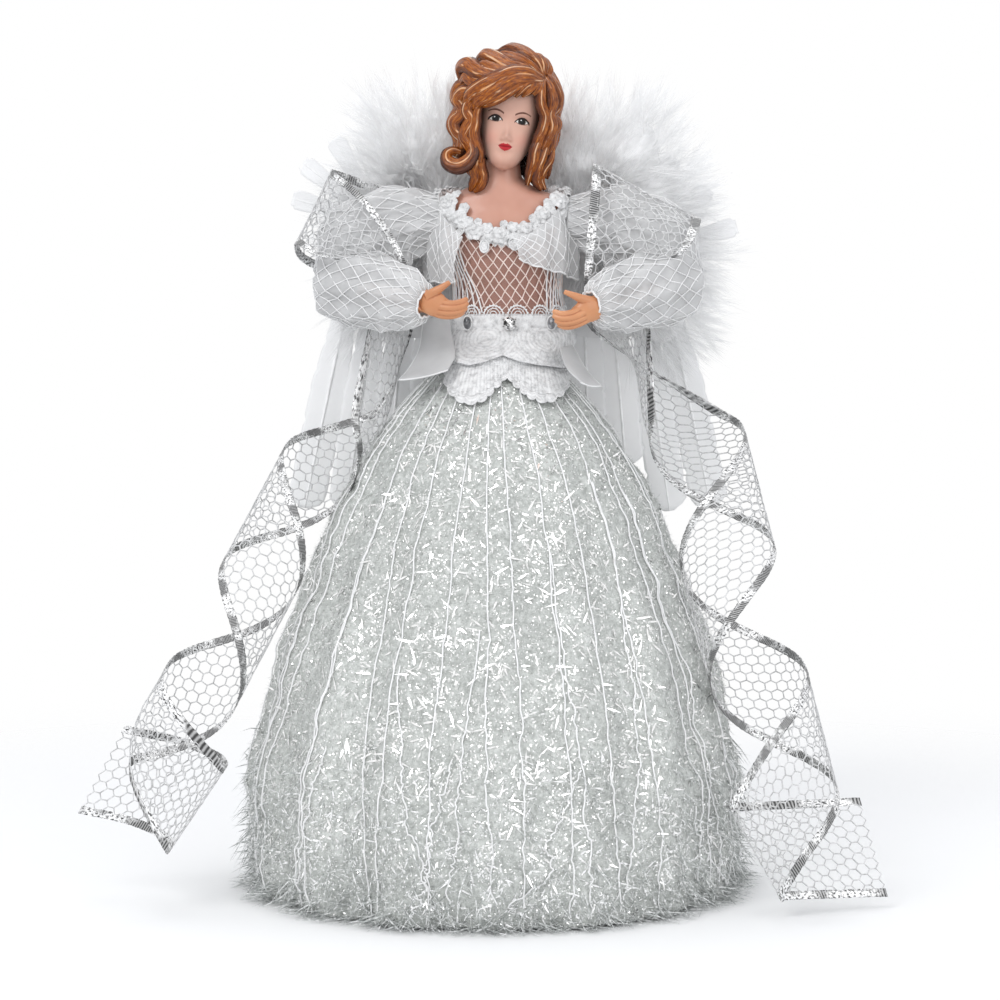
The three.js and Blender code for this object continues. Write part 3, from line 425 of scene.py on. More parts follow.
def foilPaint():
    paint = paints["foil"] = Paint("foilPaint", 180, 0.28, 0.3)
    strip = paint.objectPoints(uv=True)
    # painted reflections: the foil's black, grey and white specks and ribs stand for light and dark caught in its
    # crinkles
    specks = paint.ramp(paint.noise(3.6, 3, strip, 0.7), (0.36, 20), (0.43, 110), (0.48, 215), (0.53, 255))
    ribs = paint.ramp(paint.wave(1.3, 1.2, strip, "Y"), (0.1, 58), (0.5, 122), (0.9, 176))
    patches = paint.ramp(paint.noise(0.3, 2, strip), (0.44, 0), (0.54, 255))
    paint.colour(paint.blend(ribs, specks, "MIX", patches)).bump(paint.noise(2.4, 3, strip), 0.3, 0.9)


def lacePaint():
    paint = paints["lace"] = Paint("lacePaint", 246, 0.75, Sheen_Weight=0.2)
    lines = paint.add("ShaderNodeMath", {0: paint.attribute("stitch")}, operation="SINE").outputs[0]
    stitches = paint.add("ShaderNodeMapRange", {"Value": lines, "From Min": -1}).outputs["Result"]
    tone = paint.ramp(paint.noise(420, 4, rough=0.7), (0.34, 202), (0.48, 234), (0.62, 248))
    paint.colour(paint.blend(tone, paint.ramp(stitches, (0.1, 240), (0.5, 252), (0.8, 255))))
    paint.bump(stitches, 0.12, 0.7).bump(paint.noise(1100, 3, rough=0.7), 0.55, 1.0)


def skirtPaint():
    paint = paints["skirtCloth"] = Paint("skirtClothPaint", 214, 0.75, Sheen_Weight=0.2)
    fibres = paint.noise(420, 6, rough=0.75)
    tone = paint.ramp(fibres, (0.36, (176, 179, 175)), (0.5, (202, 205, 201)), (0.62, (226, 228, 225)))
    paint.colour(paint.blend(tone, paint.ramp(paint.noise(28, 3), (0.35, 240), (0.65, 255)))).bump(fibres, 0.6, 0.7)


def quillPaint():
    paint = paints["quill"] = Paint("quillPaint", 246, 0.6, Sheen_Weight=0.3)
    barbs = paint.wave(9, 0.8, paint.objectPoints((0.3, 1, 1), uv=True), "Y")
    paint.colour(paint.ramp(barbs, (0.1, 240), (0.8, 252))).bump(barbs, 0.03, 0.5)


def clearPaint():
    paint = paints["clear"] = Paint("clearPaint", 245, 0.05, 0.9)
    # painted reflections: cells of dark and bright stand for the facets' reflections
    cells = paint.add("ShaderNodeTexVoronoi", {"Scale": 1300, "Vector": paint.objectPoints()}).outputs["Color"]
    paint.colour(paint.ramp(cells, (0.25, 70), (0.45, 170), (0.6, 255)))


# A plain paint: its colour, its shader's values, its noise in tones, and a bump or a range of roughness
def plainPaint(key, shader, noise, stops, bump=None, sheen=None, rough=0.5, **sockets):
    paint = paints[key] = Paint(key + "Paint", *shader, **sockets)
    if stops:
        paint.tones(*noise, *stops, rough=rough)
    if sheen:
        paint.sheen(paint.noise(*noise), *sheen)
    if bump:
        paint.bump(paint.noise(*bump[:2]), *bump[2:])


skinPaint("skin", (212, 160, 140), (200, 146, 126))
skinPaint("hand", (212, 150, 106), (194, 130, 88))
threadPaint("thread", 228, 248)
threadPaint("blush", (228, 206, 196), (246, 228, 220))
threadPaint("ribbonThread", 186, 232)
threadPaint("yarn", 244, 255)
clothPaint("sleeveCloth", 216, 240, alpha=0.62)
# a darker see-through sheet over the bust skin: its mauve colour is partly painted shade
clothPaint("bodiceCloth", (148, 116, 108), (172, 140, 130), alpha=0.42)
clothPaint("satin", 226, 246, 1400, roughness=0.4)
# a darker, partly see-through copy of the satin for the hanging petals; its darker grey is painted shade
clothPaint("organza", 198, 218, 1400, alpha=0.86, roughness=0.5)
clothPaint("lining", 224, 240, 700)
for make in (facePaint, hairPaint, lacePaint, skirtPaint, foilPaint, quillPaint, clearPaint):
    make()
plainPaint("pile", (206, 0.5), (900, 3), [(0.34, (160, 163, 159)), (0.5, (200, 203, 199)), (0.64, (232, 234, 231))],
           rough=0.6)
plainPaint("ends", (176, 0.4), (700, 3), [(0.35, (150, 154, 152)), (0.5, (196, 199, 197)), (0.62, 248)])
plainPaint("flake", (255, 0.16, 1), (300, 2), [(0.25, 246), (0.6, 255)])
plainPaint("down", (252, 1.0), (80, 3), [(0.3, 246), (0.7, 255)], Sheen_Weight=0.3, Alpha=0.78)
plainPaint("core", (232, 1.0), (120, 4), [(0.3, 226), (0.7, 250)], bump=(500, 4, 0.8))
plainPaint("shaft", (250, 0.45), (300, 2), [(0.3, 238), (0.7, 254)])
plainPaint("card", (238, 0.9), (260, 5), [(0.3, 228), (0.7, 244)], bump=(1500, 4, 0.05))
plainPaint("steel", (170, 0.3, 1), (700, 3), [], bump=(1500, 2, 0.02), sheen=(0.22, 0.4))
plainPaint("cup", (220, 0.35, 0.4), (900, 2), [], bump=(1500, 2, 0.02), sheen=(0.28, 0.45))
plainPaint("smoke", ((84, 86, 92), 0.1, 0.3), (420, 2), [(0.35, (70, 72, 76)), (0.5, (112, 113, 116)),
                                                         (0.62, (176, 176, 180))], Coat_Weight=1.0, Coat_Roughness=0.03)
mats = {name: paint.material for name, paint in paints.items()}
print("materials made")


# Geometry Nodes
def newTree(name, **kinds):
    tree = bpy.data.node_groups.new(name, "GeometryNodeTree")
    for kind, labels in dict(Geometry="Geometry", **kinds).items():
        for label in labels.split():
            tree.interface.new_socket(label, in_out="INPUT", socket_type="NodeSocket" + kind)
    tree.interface.new_socket("Geometry", in_out="OUTPUT", socket_type="NodeSocketGeometry")
    add = lambda kind, values=None, **settings: addNode(tree, kind, values, **settings).outputs
    return tree, tree.nodes.new("NodeGroupInput").outputs, add


def closeTree(tree, add, geometry, material):
    real = add("GeometryNodeRealizeInstances", {"Geometry": geometry})
    painted = add("GeometryNodeSetMaterial", {"Geometry": real[0], "Material": material})
    tree.links.new(painted[0], tree.nodes.new("NodeGroupOutput").inputs[0])
    return tree


def runTree(piece, tree, **values):
    modifier = piece.modifiers.new(tree.name, "NODES")
    modifier.node_group = tree
    for item in tree.interface.items_tree:
        if item.in_out == "INPUT" and item.name in values:
            modifier[item.identifier] = values[item.name]
    graph = bpy.context.evaluated_depsgraph_get()
    made = bpy.data.meshes.new_from_object(piece.evaluated_get(graph), preserve_all_data_layers=True, depsgraph=graph)
    piece.modifiers.remove(modifier)
    piece.data = made
    made.shade_smooth()
    return piece


# Threads: every edge of a mesh becomes a closed tube
def makeThreadTree():
    tree, given, add = newTree("threads", Float="radius", Int="sides", Material="material")
    lines = add("GeometryNodeMeshToCurve", {"Mesh": given["Geometry"]})
    circle = add("GeometryNodeCurvePrimitiveCircle", {"Resolution": given["sides"], "Radius": given["radius"]})
    tubes = add("GeometryNodeCurveToMesh", {"Curve": lines[0], "Profile Curve": circle[0], "Fill Caps": True})
    return closeTree(tree, add, tubes[0], given["material"])


# Turned copies: an instance on each point, leaning by a random amount and turned all round
def addCopies(add, spots, instance, facing, low, high, scale):
    lean = add("FunctionNodeRandomValue", {0: add("ShaderNodeCombineXYZ", low)[0],
                                           1: add("ShaderNodeCombineXYZ", dict(high, Z=fullTurn))[0]},
               data_type="FLOAT_VECTOR")
    turn = add("FunctionNodeEulerToRotation", {0: lean[0]})
    turned = add("FunctionNodeRotateRotation", {"Rotation": facing, "Rotate By": turn[0]}, rotation_space="LOCAL")
    return add("GeometryNodeInstanceOnPoints", {"Points": spots["Points"], "Instance": instance,
                                                "Rotation": turned[0], "Scale": scale})[0]


# Strands: slim slips that stand on a surface, leaning and turned at random
def makeStrandTree():
    tree, given, add = newTree("strands", Float="density long wide leanLow leanHigh sizeLow sizeHigh clump",
                               Int="seed corners", Material="material")
    patches = add("ShaderNodeTexNoise", {"Scale": 70.0, "Detail": 2.0})
    crowd = add("ShaderNodeMapRange", {"Value": patches[0], "From Min": 0.42, "From Max": 0.62, "To Min": 0.0,
                                       "To Max": 2.2})
    share = add("ShaderNodeMix", {"Factor": given["clump"], "A": 1.0, "B": crowd[0]})
    density = add("ShaderNodeMath", {0: given["density"], 1: share[0]}, operation="MULTIPLY")
    spots = add("GeometryNodeDistributePointsOnFaces", {"Mesh": given["Geometry"], "Density": density[0],
                                                        "Seed": given["seed"]})
    slip = add("GeometryNodeMeshCircle", {"Vertices": given["corners"], "Radius": 1 / 1.5}, fill_type="NGON")
    scale = add("ShaderNodeCombineXYZ", {"X": given["long"], "Y": given["wide"], "Z": 1.0})
    shift = add("ShaderNodeMath", {0: given["long"], 1: 1 / 3}, operation="MULTIPLY")
    lift = add("ShaderNodeCombineXYZ", {"Z": shift[0]})
    blade = add("GeometryNodeTransform", {"Geometry": slip[0], "Scale": scale[0], "Rotation": (0, -math.pi / 2, 0),
                                          "Translation": lift[0]})
    chosen = add("FunctionNodeRandomValue", {"Seed": 3}, data_type="FLOAT")
    small = add("ShaderNodeMath", {0: chosen[1], 1: 2.2}, operation="POWER")
    size = add("ShaderNodeMapRange", {"Value": small[0], "To Min": given["sizeLow"], "To Max": given["sizeHigh"]})
    stretch = add("ShaderNodeCombineXYZ", {"X": 1.0, "Y": 1.0, "Z": size[0]})
    copies = addCopies(add, spots, blade[0], spots["Rotation"], {"Y": given["leanLow"]}, {"Y": given["leanHigh"]},
                       stretch[0])
    return closeTree(tree, add, copies, given["material"])


# Copies: an object set on a surface's points, along an arrow kept on each point
def makeCopyTree():
    tree, given, add = newTree("copies", Float="density sizeLow sizeHigh spread", Int="seed", Object="source",
                               Material="material")
    spots = add("GeometryNodeDistributePointsOnFaces", {"Mesh": given["Geometry"], "Density": given["density"],
                                                        "Seed": given["seed"]})
    arrow = add("GeometryNodeInputNamedAttribute", {"Name": "arrow"}, data_type="FLOAT_VECTOR")
    ahead = add("FunctionNodeAlignRotationToVector", {"Vector": arrow[0]}, axis="Z")
    less = add("ShaderNodeMath", {0: given["spread"], 1: -1.0}, operation="MULTIPLY")
    size = add("FunctionNodeRandomValue", {"Seed": 5, 2: given["sizeLow"], 3: given["sizeHigh"]}, data_type="FLOAT")
    source = add("GeometryNodeObjectInfo", {"Object": given["source"]})
    copies = addCopies(add, spots, source["Geometry"], ahead[0], {"X": less[0], "Y": less[0]},
                       {"X": given["spread"], "Y": given["spread"]}, size[1])
    return closeTree(tree, add, copies, given["material"])


threadTree, strandTree, copyTree = makeThreadTree(), makeStrandTree(), makeCopyTree()


def threadPiece(name, points, edges, radius, paint):
    return runTree(meshPiece(name, points, [], edges=edges), threadTree, radius=radius * mm, sides=5,
                   material=mats[paint])


# A net's knots and threads over a grid: hexagons, or diamonds, with cells of the given width and height
def netOver(grid, cellWide, cellHigh, hexagon=True, closed=False, wobble=0.0):
    rows = len(grid)
    ring = np.concatenate([grid, grid[:, :1]], 1) if closed else grid
    down = np.linalg.norm(np.diff(ring, axis=0), axis=2).mean(1)
    lengths = np.concatenate([[0], np.cumsum(down)])
    across = np.linalg.norm(np.diff(ring, axis=1), axis=2).sum(1).mean()
    wide, high = max(2, round(across / cellWide)), max(2, round(lengths[-1] / cellHigh))
    knots, edges, found = [], [], {}

    def knot(u, v):
        if closed:
            u = u % 1
        key = (round(u * wide * 12), round(v * high * 12))
        if key not in found:
            found[key] = len(knots)
            knots.append((u, v))
        return found[key]

    for i in range(high + 1):
        for j in range(wide + 1):
            u, v = (j + (i % 2) * 0.5) / wide, i / high
            stem = v + 0.6 / high if hexagon else v
            if hexagon and u <= 1 and stem <= 1:
                edges.append((knot(u, v), knot(u, stem)))
            for end in (u - 0.5 / wide, u + 0.5 / wide):
                inside = (0 if hexagon else -0.0001) <= end <= 1.0001
                if inside and stem <= 1 and v + 1 / high <= 1.0001 and u <= 1:
                    edges.append((knot(u, stem), knot(end, v + 1 / high)))
    uv = np.array(knots)
    if wobble:
        uv = uv + chance.uniform(-wobble, wobble, uv.shape) / [wide, high]
    u, v = np.clip(uv, 0, 1).T
    row, column = np.interp(v * lengths[-1], lengths, np.arange(rows)), u * (ring.shape[1] - 1)
    i, j = np.clip(row.astype(int), 0, rows - 2), np.clip(column.astype(int), 0, ring.shape[1] - 2)
    a, b = (row - i)[:, None], (column - j)[:, None]
    points = ((1 - a) * ((1 - b) * ring[i, j] + b * ring[i, j + 1])
              + a * ((1 - b) * ring[i + 1, j] + b * ring[i + 1, j + 1]))
    edges = {tuple(sorted(e)) for e in edges if e[0] != e[1]}
    if closed:
        edges = {e for e in edges if np.linalg.norm(points[e[0]] - points[e[1]]) < 3 * cellWide + 3 * cellHigh}
    return points, sorted(edges)


# The cone, the linings and the wires keep their built shapes
for node, paint in (("topper_cone", "card"), ("underskirt", "lining"), ("wing_pad", "lining"),
                    ("left_wing_card", "card"), ("right_wing_card", "card"), ("left_arm_wire", "steel"),
                    ("right_arm_wire", "steel"), ("centre_stone_cup", "cup")):
    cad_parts[node].data.materials.clear()
    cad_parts[node].data.materials.append(mats[paint])


def lengthsAlong(path):
    return np.concatenate([[0], np.cumsum(np.linalg.norm(np.diff(path, axis=0), axis=1))])


# A place at a given depth, from where it is seen in the front view: across and down
view = {"eye": np.array([1.08, -1000, 203]), "tilt": math.radians(3.68), "reach": 2783}



def seen(across, down, back):
    across, down, back = np.broadcast_arrays(*(np.asarray(v, float)[..., None] for v in (across, down, back)))
    ahead = np.array([0, math.cos(view["tilt"]), -math.sin(view["tilt"])])
    up = np.array([0, math.sin(view["tilt"]), math.cos(view["tilt"])])
    ray = ahead + np.array([1, 0, 0]) * (across - 500) / view["reach"] + up * (500 - down) / view["reach"]
    return view["eye"] + ray * (back - view["eye"][1]) / ray[..., 1:2]


def seenPath(spots, cuts):
    return curveThrough([seen(*spot) for spot in spots], cuts)


# The place on a round form's front, whose section(z) gives its middle and half sizes
def seenOn(across, down, section, near=-60.0, far=2.0):
    across, down = np.broadcast_arrays(np.asarray(across, float), np.asarray(down, float))
    low, high = np.full(across.shape, near), np.full(across.shape, far)
    for _ in range(30):
        middle = (low + high) / 2
        spot = seen(across, down, middle)
        x, y, wide, deep = section(spot[..., 2])
        outside = ((spot[..., 0] - x) / wide) ** 2 + ((spot[..., 1] - y) / deep) ** 2 > 1
        low, high = np.where(outside, middle, low), np.where(outside, high, middle)
    return spot


# The point at an angle on such a section
def onSection(section, z, angle):
    x, y, wide, deep = section
    return np.stack([x + wide * np.cos(angle), y + deep * np.sin(angle), z + 0 * angle], -1)


# Three waves that make a ball: two across and one along it
def ballWaves(fromTip, columns):
    theta, phi = crossed(fromTip, turns(columns))
    return np.sin(theta) * np.cos(phi), np.sin(theta) * np.sin(phi), np.cos(theta)


# Tinsel skirt
skirt = {"top": 187.7, "waist": 20.5, "hem": 84, "folds": 16, "foldDepth": 1.6, "rows": 130, "columns": 384,
         "floorGap": 0.3, "strings": 34, "stringRadius": 0.29, "fringe": 5000, "fringeHigh": 62, "fringeReach": 97.5}
tinsel = {
    "Pile": {"paint": "pile", "seed": 3, "density": 1.1e6, "long": 0.0046, "wide": 0.00016, "leanLow": 1.15,
             "leanHigh": 1.5, "sizeLow": 0.3, "sizeHigh": 1.3, "corners": 3, "clump": 0.0},
    "Specks": {"paint": "flake", "seed": 8, "density": 0.5e6, "long": 0.0006, "wide": 0.00052, "leanLow": 0.9,
               "leanHigh": 1.5, "sizeLow": 0.6, "sizeHigh": 1.5, "corners": 4, "clump": 0.4},
    "Dashes": {"paint": "flake", "seed": 5, "density": 0.115e6, "long": 0.0044, "wide": 0.0006, "leanLow": 1.3,
               "leanHigh": 1.52, "sizeLow": 0.25, "sizeHigh": 1.25, "corners": 4, "clump": 0.35},
}
bellLine = smoothLine([0, .07, .16, .26, .35, .45, .54, .64, .73, .83, .92, 1],
                      [.97, 1, 1, .97, .91, .84, .75, .65, .54, .38, .2, 0])


def skirtRadius(z, angle=None):
    share = np.clip(z / skirt["top"], 0, 1)
    radius = mix(skirt["waist"], skirt["hem"], bellLine(share))
    if angle is None:
        return radius
    fade = np.minimum(1, (1 - share) / 0.5)
    return radius + skirt["foldDepth"] * np.cos(skirt["folds"] * angle) * fade


def skirtPoint(z, angle, out=0.0):
    radius = skirtRadius(z, angle) + out
    return np.stack([radius * np.cos(angle), radius * np.sin(angle), z + 0 * angle], -1)


def lumps(points, scale, depth):
    return np.array([noise.noise(Vector(p) * scale) for p in points.reshape(-1, 3)]).reshape(points.shape[:-1]) * depth


# The cloth's own surface: lumpy, and fuller low down, mostly at one side
def skirtSkin(z, angle, out=0.0):
    flat = skirtPoint(z, angle)
    rough = lumps(flat, 0.06, 2.2) + lumps(flat, 0.2, 1.1) + 1.6 + 3.4 * bell(z, 46, 42) * (0.55 - 0.45 * np.cos(angle))
    return skirtPoint(z, angle, rough * smoothstep(0, 30, skirt["top"] - z) + out)


def makeSkirt():
    grid = skirtSkin(*crossed(np.linspace(skirt["top"], 1.2, skirt["rows"]), turns(skirt["columns"])))
    cloth = finish(gridPiece("skirtCloth", grid, "skirtCloth", closed=True), "tinsel", "tinsel_skirt")
    layers = []
    for name, look in tinsel.items():
        layer = addPiece("tinsel" + name, cloth.data.copy())
        values = {label: value for label, value in look.items() if label != "paint"}
        runTree(layer, strandTree, material=mats[look["paint"]], **values)
        points = coordinates(layer.data)
        points[:, 2] = np.maximum(points[:, 2], origin[2] + skirt["floorGap"] * mm)
        layer.data.vertices.foreach_set("co", points.ravel())
        layers.append(finish(layer, "tinsel"))
    layers += [makeFringe(), makeStrings()]


# Loose ends of tinsel stand out low on the skirt and round its hem
def makeFringe():
    count = skirt["fringe"]
    z = skirt["fringeHigh"] * chance.random(count) ** 2.6 + 0.8
    angle = chance.uniform(0, fullTurn, count)
    long = (chance.uniform(3, 14, count) + 9 * chance.random(count) ** 6) * mix(1, 0.5, z / skirt["fringeHigh"])
    out = np.stack([np.cos(angle), np.sin(angle), 0 * angle], -1)
    aside = np.stack([-np.sin(angle), np.cos(angle), 0 * angle], -1)
    up = np.array([0, 0, 1.0])
    free = smoothstep(0, 12, z)[:, None]
    ahead = unit(out * chance.uniform(0.3, 1.2, (count, 1)) + aside * chance.normal(0, 0.7, (count, 1))
                 + up * chance.uniform(-1.2, 0.35, (count, 1)) * mix(0.12, 1, free))
    droop = aside * chance.normal(0, 0.2, (count, 1)) - up * chance.uniform(0, 0.5, (count, 1)) * free
    wide = unit(np.cross(ahead, chance.normal(0, 1, (count, 3)))) * chance.uniform(0.12, 0.3, (count, 1))
    root = skirtSkin(z, angle, -0.3)
    rows = []
    for share, width in ((0, 1), (0.5, 0.85), (1, 0)):
        middle = root + (ahead * share + droop * share**2) * long[:, None]
        rows += [middle - wide * width, middle + wide * width]
    points = np.stack(rows[:5], 1)
    points[..., 2] = np.maximum(points[..., 2], skirt["floorGap"] + 0.8 * chance.random((count, 1)))
    points[..., :2] *= np.minimum(1, skirt["fringeReach"] / np.hypot(points[..., 0], points[..., 1]))[..., None]
    start = np.arange(count)[:, None] * 5
    faces = (start + [[0, 1, 3, 2]]).tolist() + (start + [[2, 3, 4]]).tolist()
    return finish(meshPiece("hemFringe", points, faces, "ends", smooth=False), "tinsel")


# White strings run from the waist to the hem, wavering, and join or part lower down
def makeStrings():
    points, edges, count = [], [], 110
    wander = lambda knots: np.interp(np.arange(count), np.linspace(0, count, len(knots)), knots)

    def run(start, top, low, drift, sway):
        heights = np.linspace(top, low, count)
        share = (top - heights) / max(top - low, 1)
        kinks = wander(chance.normal(0, 1, 24).cumsum())
        fine = wander(chance.normal(0, 1, 60))
        angles = start + drift * share**1.5 + sway * share**0.5 * (0.3 * (kinks - kinks[0]) + 0.2 * fine)
        heights = heights + 0.5 * wander(chance.normal(0, 1, 60))
        out = mix(0.3, 0.7, smoothstep(186, 168, heights)) + 0.4 * np.sin(share * 31 + chance.uniform(0, 6)) * share
        first = len(points) * count
        points.append(skirtSkin(np.maximum(heights, 0.8), angles, out + 0.3 * share))
        edges.extend((first + k, first + k + 1) for k in range(count - 1))

    for k in range(skirt["strings"]):
        start = (k + chance.uniform(-0.3, 0.3)) / skirt["strings"] * fullTurn
        run(start, skirt["top"] - 1, chance.uniform(1.5, 10), chance.uniform(-0.08, 0.08), 0.022)
        if k % 2:
            run(start + chance.uniform(-0.03, 0.03), chance.uniform(60, 150), chance.uniform(2, 12),
                chance.choice([-1, 1]) * chance.uniform(0.08, 0.2), 0.03)
        if k % 3 == 0:
            run(start + 0.05, chance.uniform(28, 60), chance.uniform(2, 10), chance.choice([-1, 1]) * 0.25, 0.05)
    return finish(threadPiece("yarnStrings", np.vstack(points), edges, skirt["stringRadius"], "yarn"), "tinsel")


makeSkirt()
print("skirt made")

# Bust: its waist stands beside the cone's axis, and its neck leans back over it
bust = {"height": 70, "halfWidth": 23.5, "halfDepth": 15.5, "base": 188.3, "waistAside": 5.2, "neckAside": 1.2,
        "leanForward": 1.5}
bustRows = np.array([[0, .68, .72, 0], [.15, .87, .87, 0], [.27, .81, .87, 0], [.38, .77, .9, .3], [.48, .81, 1, 1],
                     [.6, .87, .93, 1], [.71, .96, .74, .3], [.78, 1, .61, 0], [.84, .87, .55, 0],
                     [.885, .55, .52, 0], [.93, .35, .48, 0], [1, .3, .45, 0]])
bustLines = [smoothLine(bustRows[:, 0], bustRows[:, k]) for k in (1, 2, 3)]


def bustSection(z, out):
    share = np.clip((z - bust["base"]) / bust["height"], 0, 1)
    wide, deep, lean = (line(share) for line in bustLines)
    return (mix(bust["waistAside"], bust["neckAside"], share), -bust["leanForward"] * lean,
            bust["halfWidth"] * wide + out, bust["halfDepth"] * deep + out)


def bustPoint(z, angle, out=0.0):
    return onSection(bustSection(z, out), z, angle)


def makeBust():
    heights = np.linspace(bust["base"] + 0.2, bust["base"] + bust["height"] + 2, 90)
    form = closedForm(bustPoint(*crossed(heights, turns(96))))
    finish(meshPiece("dollBust", *form, "skin"), "moulded_skin", "bust")


makeBust()

# Bodice: a thin darkened cloth, its colour partly painted shade on the skin seen through it, and a net of diamonds,
# gathered into folds at its sides
bodice = {"low": 205.9, "high": 248, "front": 231.5, "out": 0.9, "cellWide": 3.75, "cellHigh": 3.6, "thread": 0.23}


def necklineHeight(angle):
    return mix(bodice["high"], bodice["front"], ((1 - np.sin(angle)) / 2) ** 3)


def bodiceGrid(out):
    angle, share = turns(220), np.linspace(1, 0, 46)[:, None]
    z = mix(bodice["low"], necklineHeight(angle)[None] - 1, share)
    folds = (0.55 * np.abs(np.cos(angle)) ** 3 * np.sin(angle * 34 + 0.6 * np.sin(angle * 5))
             + 0.12 * np.sin(angle * 23))
    return bustPoint(z, np.broadcast_to(angle, z.shape), out + folds * np.sin(share * math.pi) ** 0.5)


def makeBodice():
    grid = bodiceGrid(bodice["out"])
    # the cloth's dark tone is partly painted shade on the skin under the net
    cloth = finish(gridPiece("bodiceCloth", grid, "bodiceCloth", closed=True), "net", "bodice_net")
    threads = netOver(bodiceGrid(bodice["out"] + 0.3), bodice["cellWide"], bodice["cellHigh"], False, True, 0.1)
    net = finish(threadPiece("bodiceNet", *threads, bodice["thread"], "blush"), "net")
    gathers = []
    for side, slant in ((0, -0.28), (math.pi, 0.5)):
        for turn in np.linspace(-0.3, 0.62, 12):
            top = side + math.copysign(turn, slant)
            z, share = np.linspace(bodice["low"], necklineHeight(top) - 2, 30), np.linspace(1, 0, 30)
            angle = top + slant * share**1.4 * max(turn + 0.3, 0) + 0.03 * np.sin(z / 4 + turn * 9)
            gathers.append(cord(bustPoint(z, angle, bodice["out"] + 0.35), 0.3))
    folds = partsPiece("bodiceGathers", gathers, "thread", "net")


makeBodice()


# Ruffled rosettes round the neckline, on a cord, with tufts and petals between them
neckline = {
    "rosettes": [(448, 203, 3.7), (458, 219, 3.6), (475, 231, 3.5), (500, 235, 3.5), (526, 230, 3.5), (544, 215, 3.6),
                 (559, 200, 3.7)],
    "tufts": [(456, 194, 2), (450, 212, 2), (464, 208, 2), (468, 222, 2.1), (463, 228, 1.8), (487, 228, 2.2),
              (488, 239, 1.8), (478, 222, 1.5),
              (513, 227, 2.2), (514, 237, 1.8), (504, 224, 1.5), (535, 219, 2.2), (537, 228, 1.9), (549, 204, 2.2),
              (552, 212, 2),
              (553, 191, 2), (441, 195, 2), (566, 192, 2), (443, 211, 1.6)],
    "petals": [(459, 233, 2.2, 1.25, 0.7), (484.5, 246.5, 2.3, 1.6, -1.4), (513.5, 244.5, 2.2, 1.5, -1.3),
               (541, 235, 2.3, 1.6, -1.5)],
    "lift": 2.2, "behind": 11, "band": 3.1, "waves": 46,
}


# A spot on the neckline, with its directions away from the bust, up and around it
def onNeckline(angle, out):
    height = necklineHeight(angle)
    up = unit(bustPoint(height + 0.3, angle) - bustPoint(height - 0.3, angle))
    around = unit(bustPoint(height, angle + 0.01) - bustPoint(height, angle - 0.01))
    away = unit(np.cross(around, up))
    return bustPoint(height, angle) + away * out, away, up, around


# The same directions at a spot seen on the bust
def onBust(across, down, out):
    spot, aside, above = seenOn([across, across + 0.5, across], [down, down, down - 0.5],
                                lambda z: bustSection(z, out))
    around, up = aside - spot, above - spot
    away = unit(np.cross(around, up))
    around = unit(around - away * np.dot(around, away))
    return spot, away, np.cross(away, around), around


def turned(around, up, turn):
    return around * math.cos(turn) + up * math.sin(turn), up * math.cos(turn) - around * math.sin(turn)


def petalBlob(middle, away, up, around, long, wide, thick, turn):
    x, y, z = ballWaves(np.linspace(0, math.pi, 7), 8)
    ahead, aside = turned(around, up, turn)
    points = middle + (x * long)[..., None] * ahead + (y * wide)[..., None] * aside - (z * thick)[..., None] * away
    return points, gridFaces(7, 8, True)


# A ruffled disc: its rim waves in and out, and shallow rings run round it
def ruffledDisc(middle, away, up, around, radius, waves):
    share, turn = crossed(np.linspace(0.04, 1, 14), turns(72))
    phase = chance.uniform(0, fullTurn)
    wave = turn * waves + phase
    reach = radius * share * (1 + 0.05 * np.sin(wave) * share)
    rise = (0.13 * radius * np.sin(wave + 1.5 * share) * share**2 + 0.09 * np.sin(share * 24)
            + 0.32 * radius * (1 - share**2) + 0.05 * np.sin(turn * 29 + phase + share * 9) * share)
    points = (middle + (reach * np.cos(turn))[..., None] * around + (reach * np.sin(turn))[..., None] * up
              + rise[..., None] * away)
    return points, [face[::-1] for face in gridFaces(14, 72, True)]


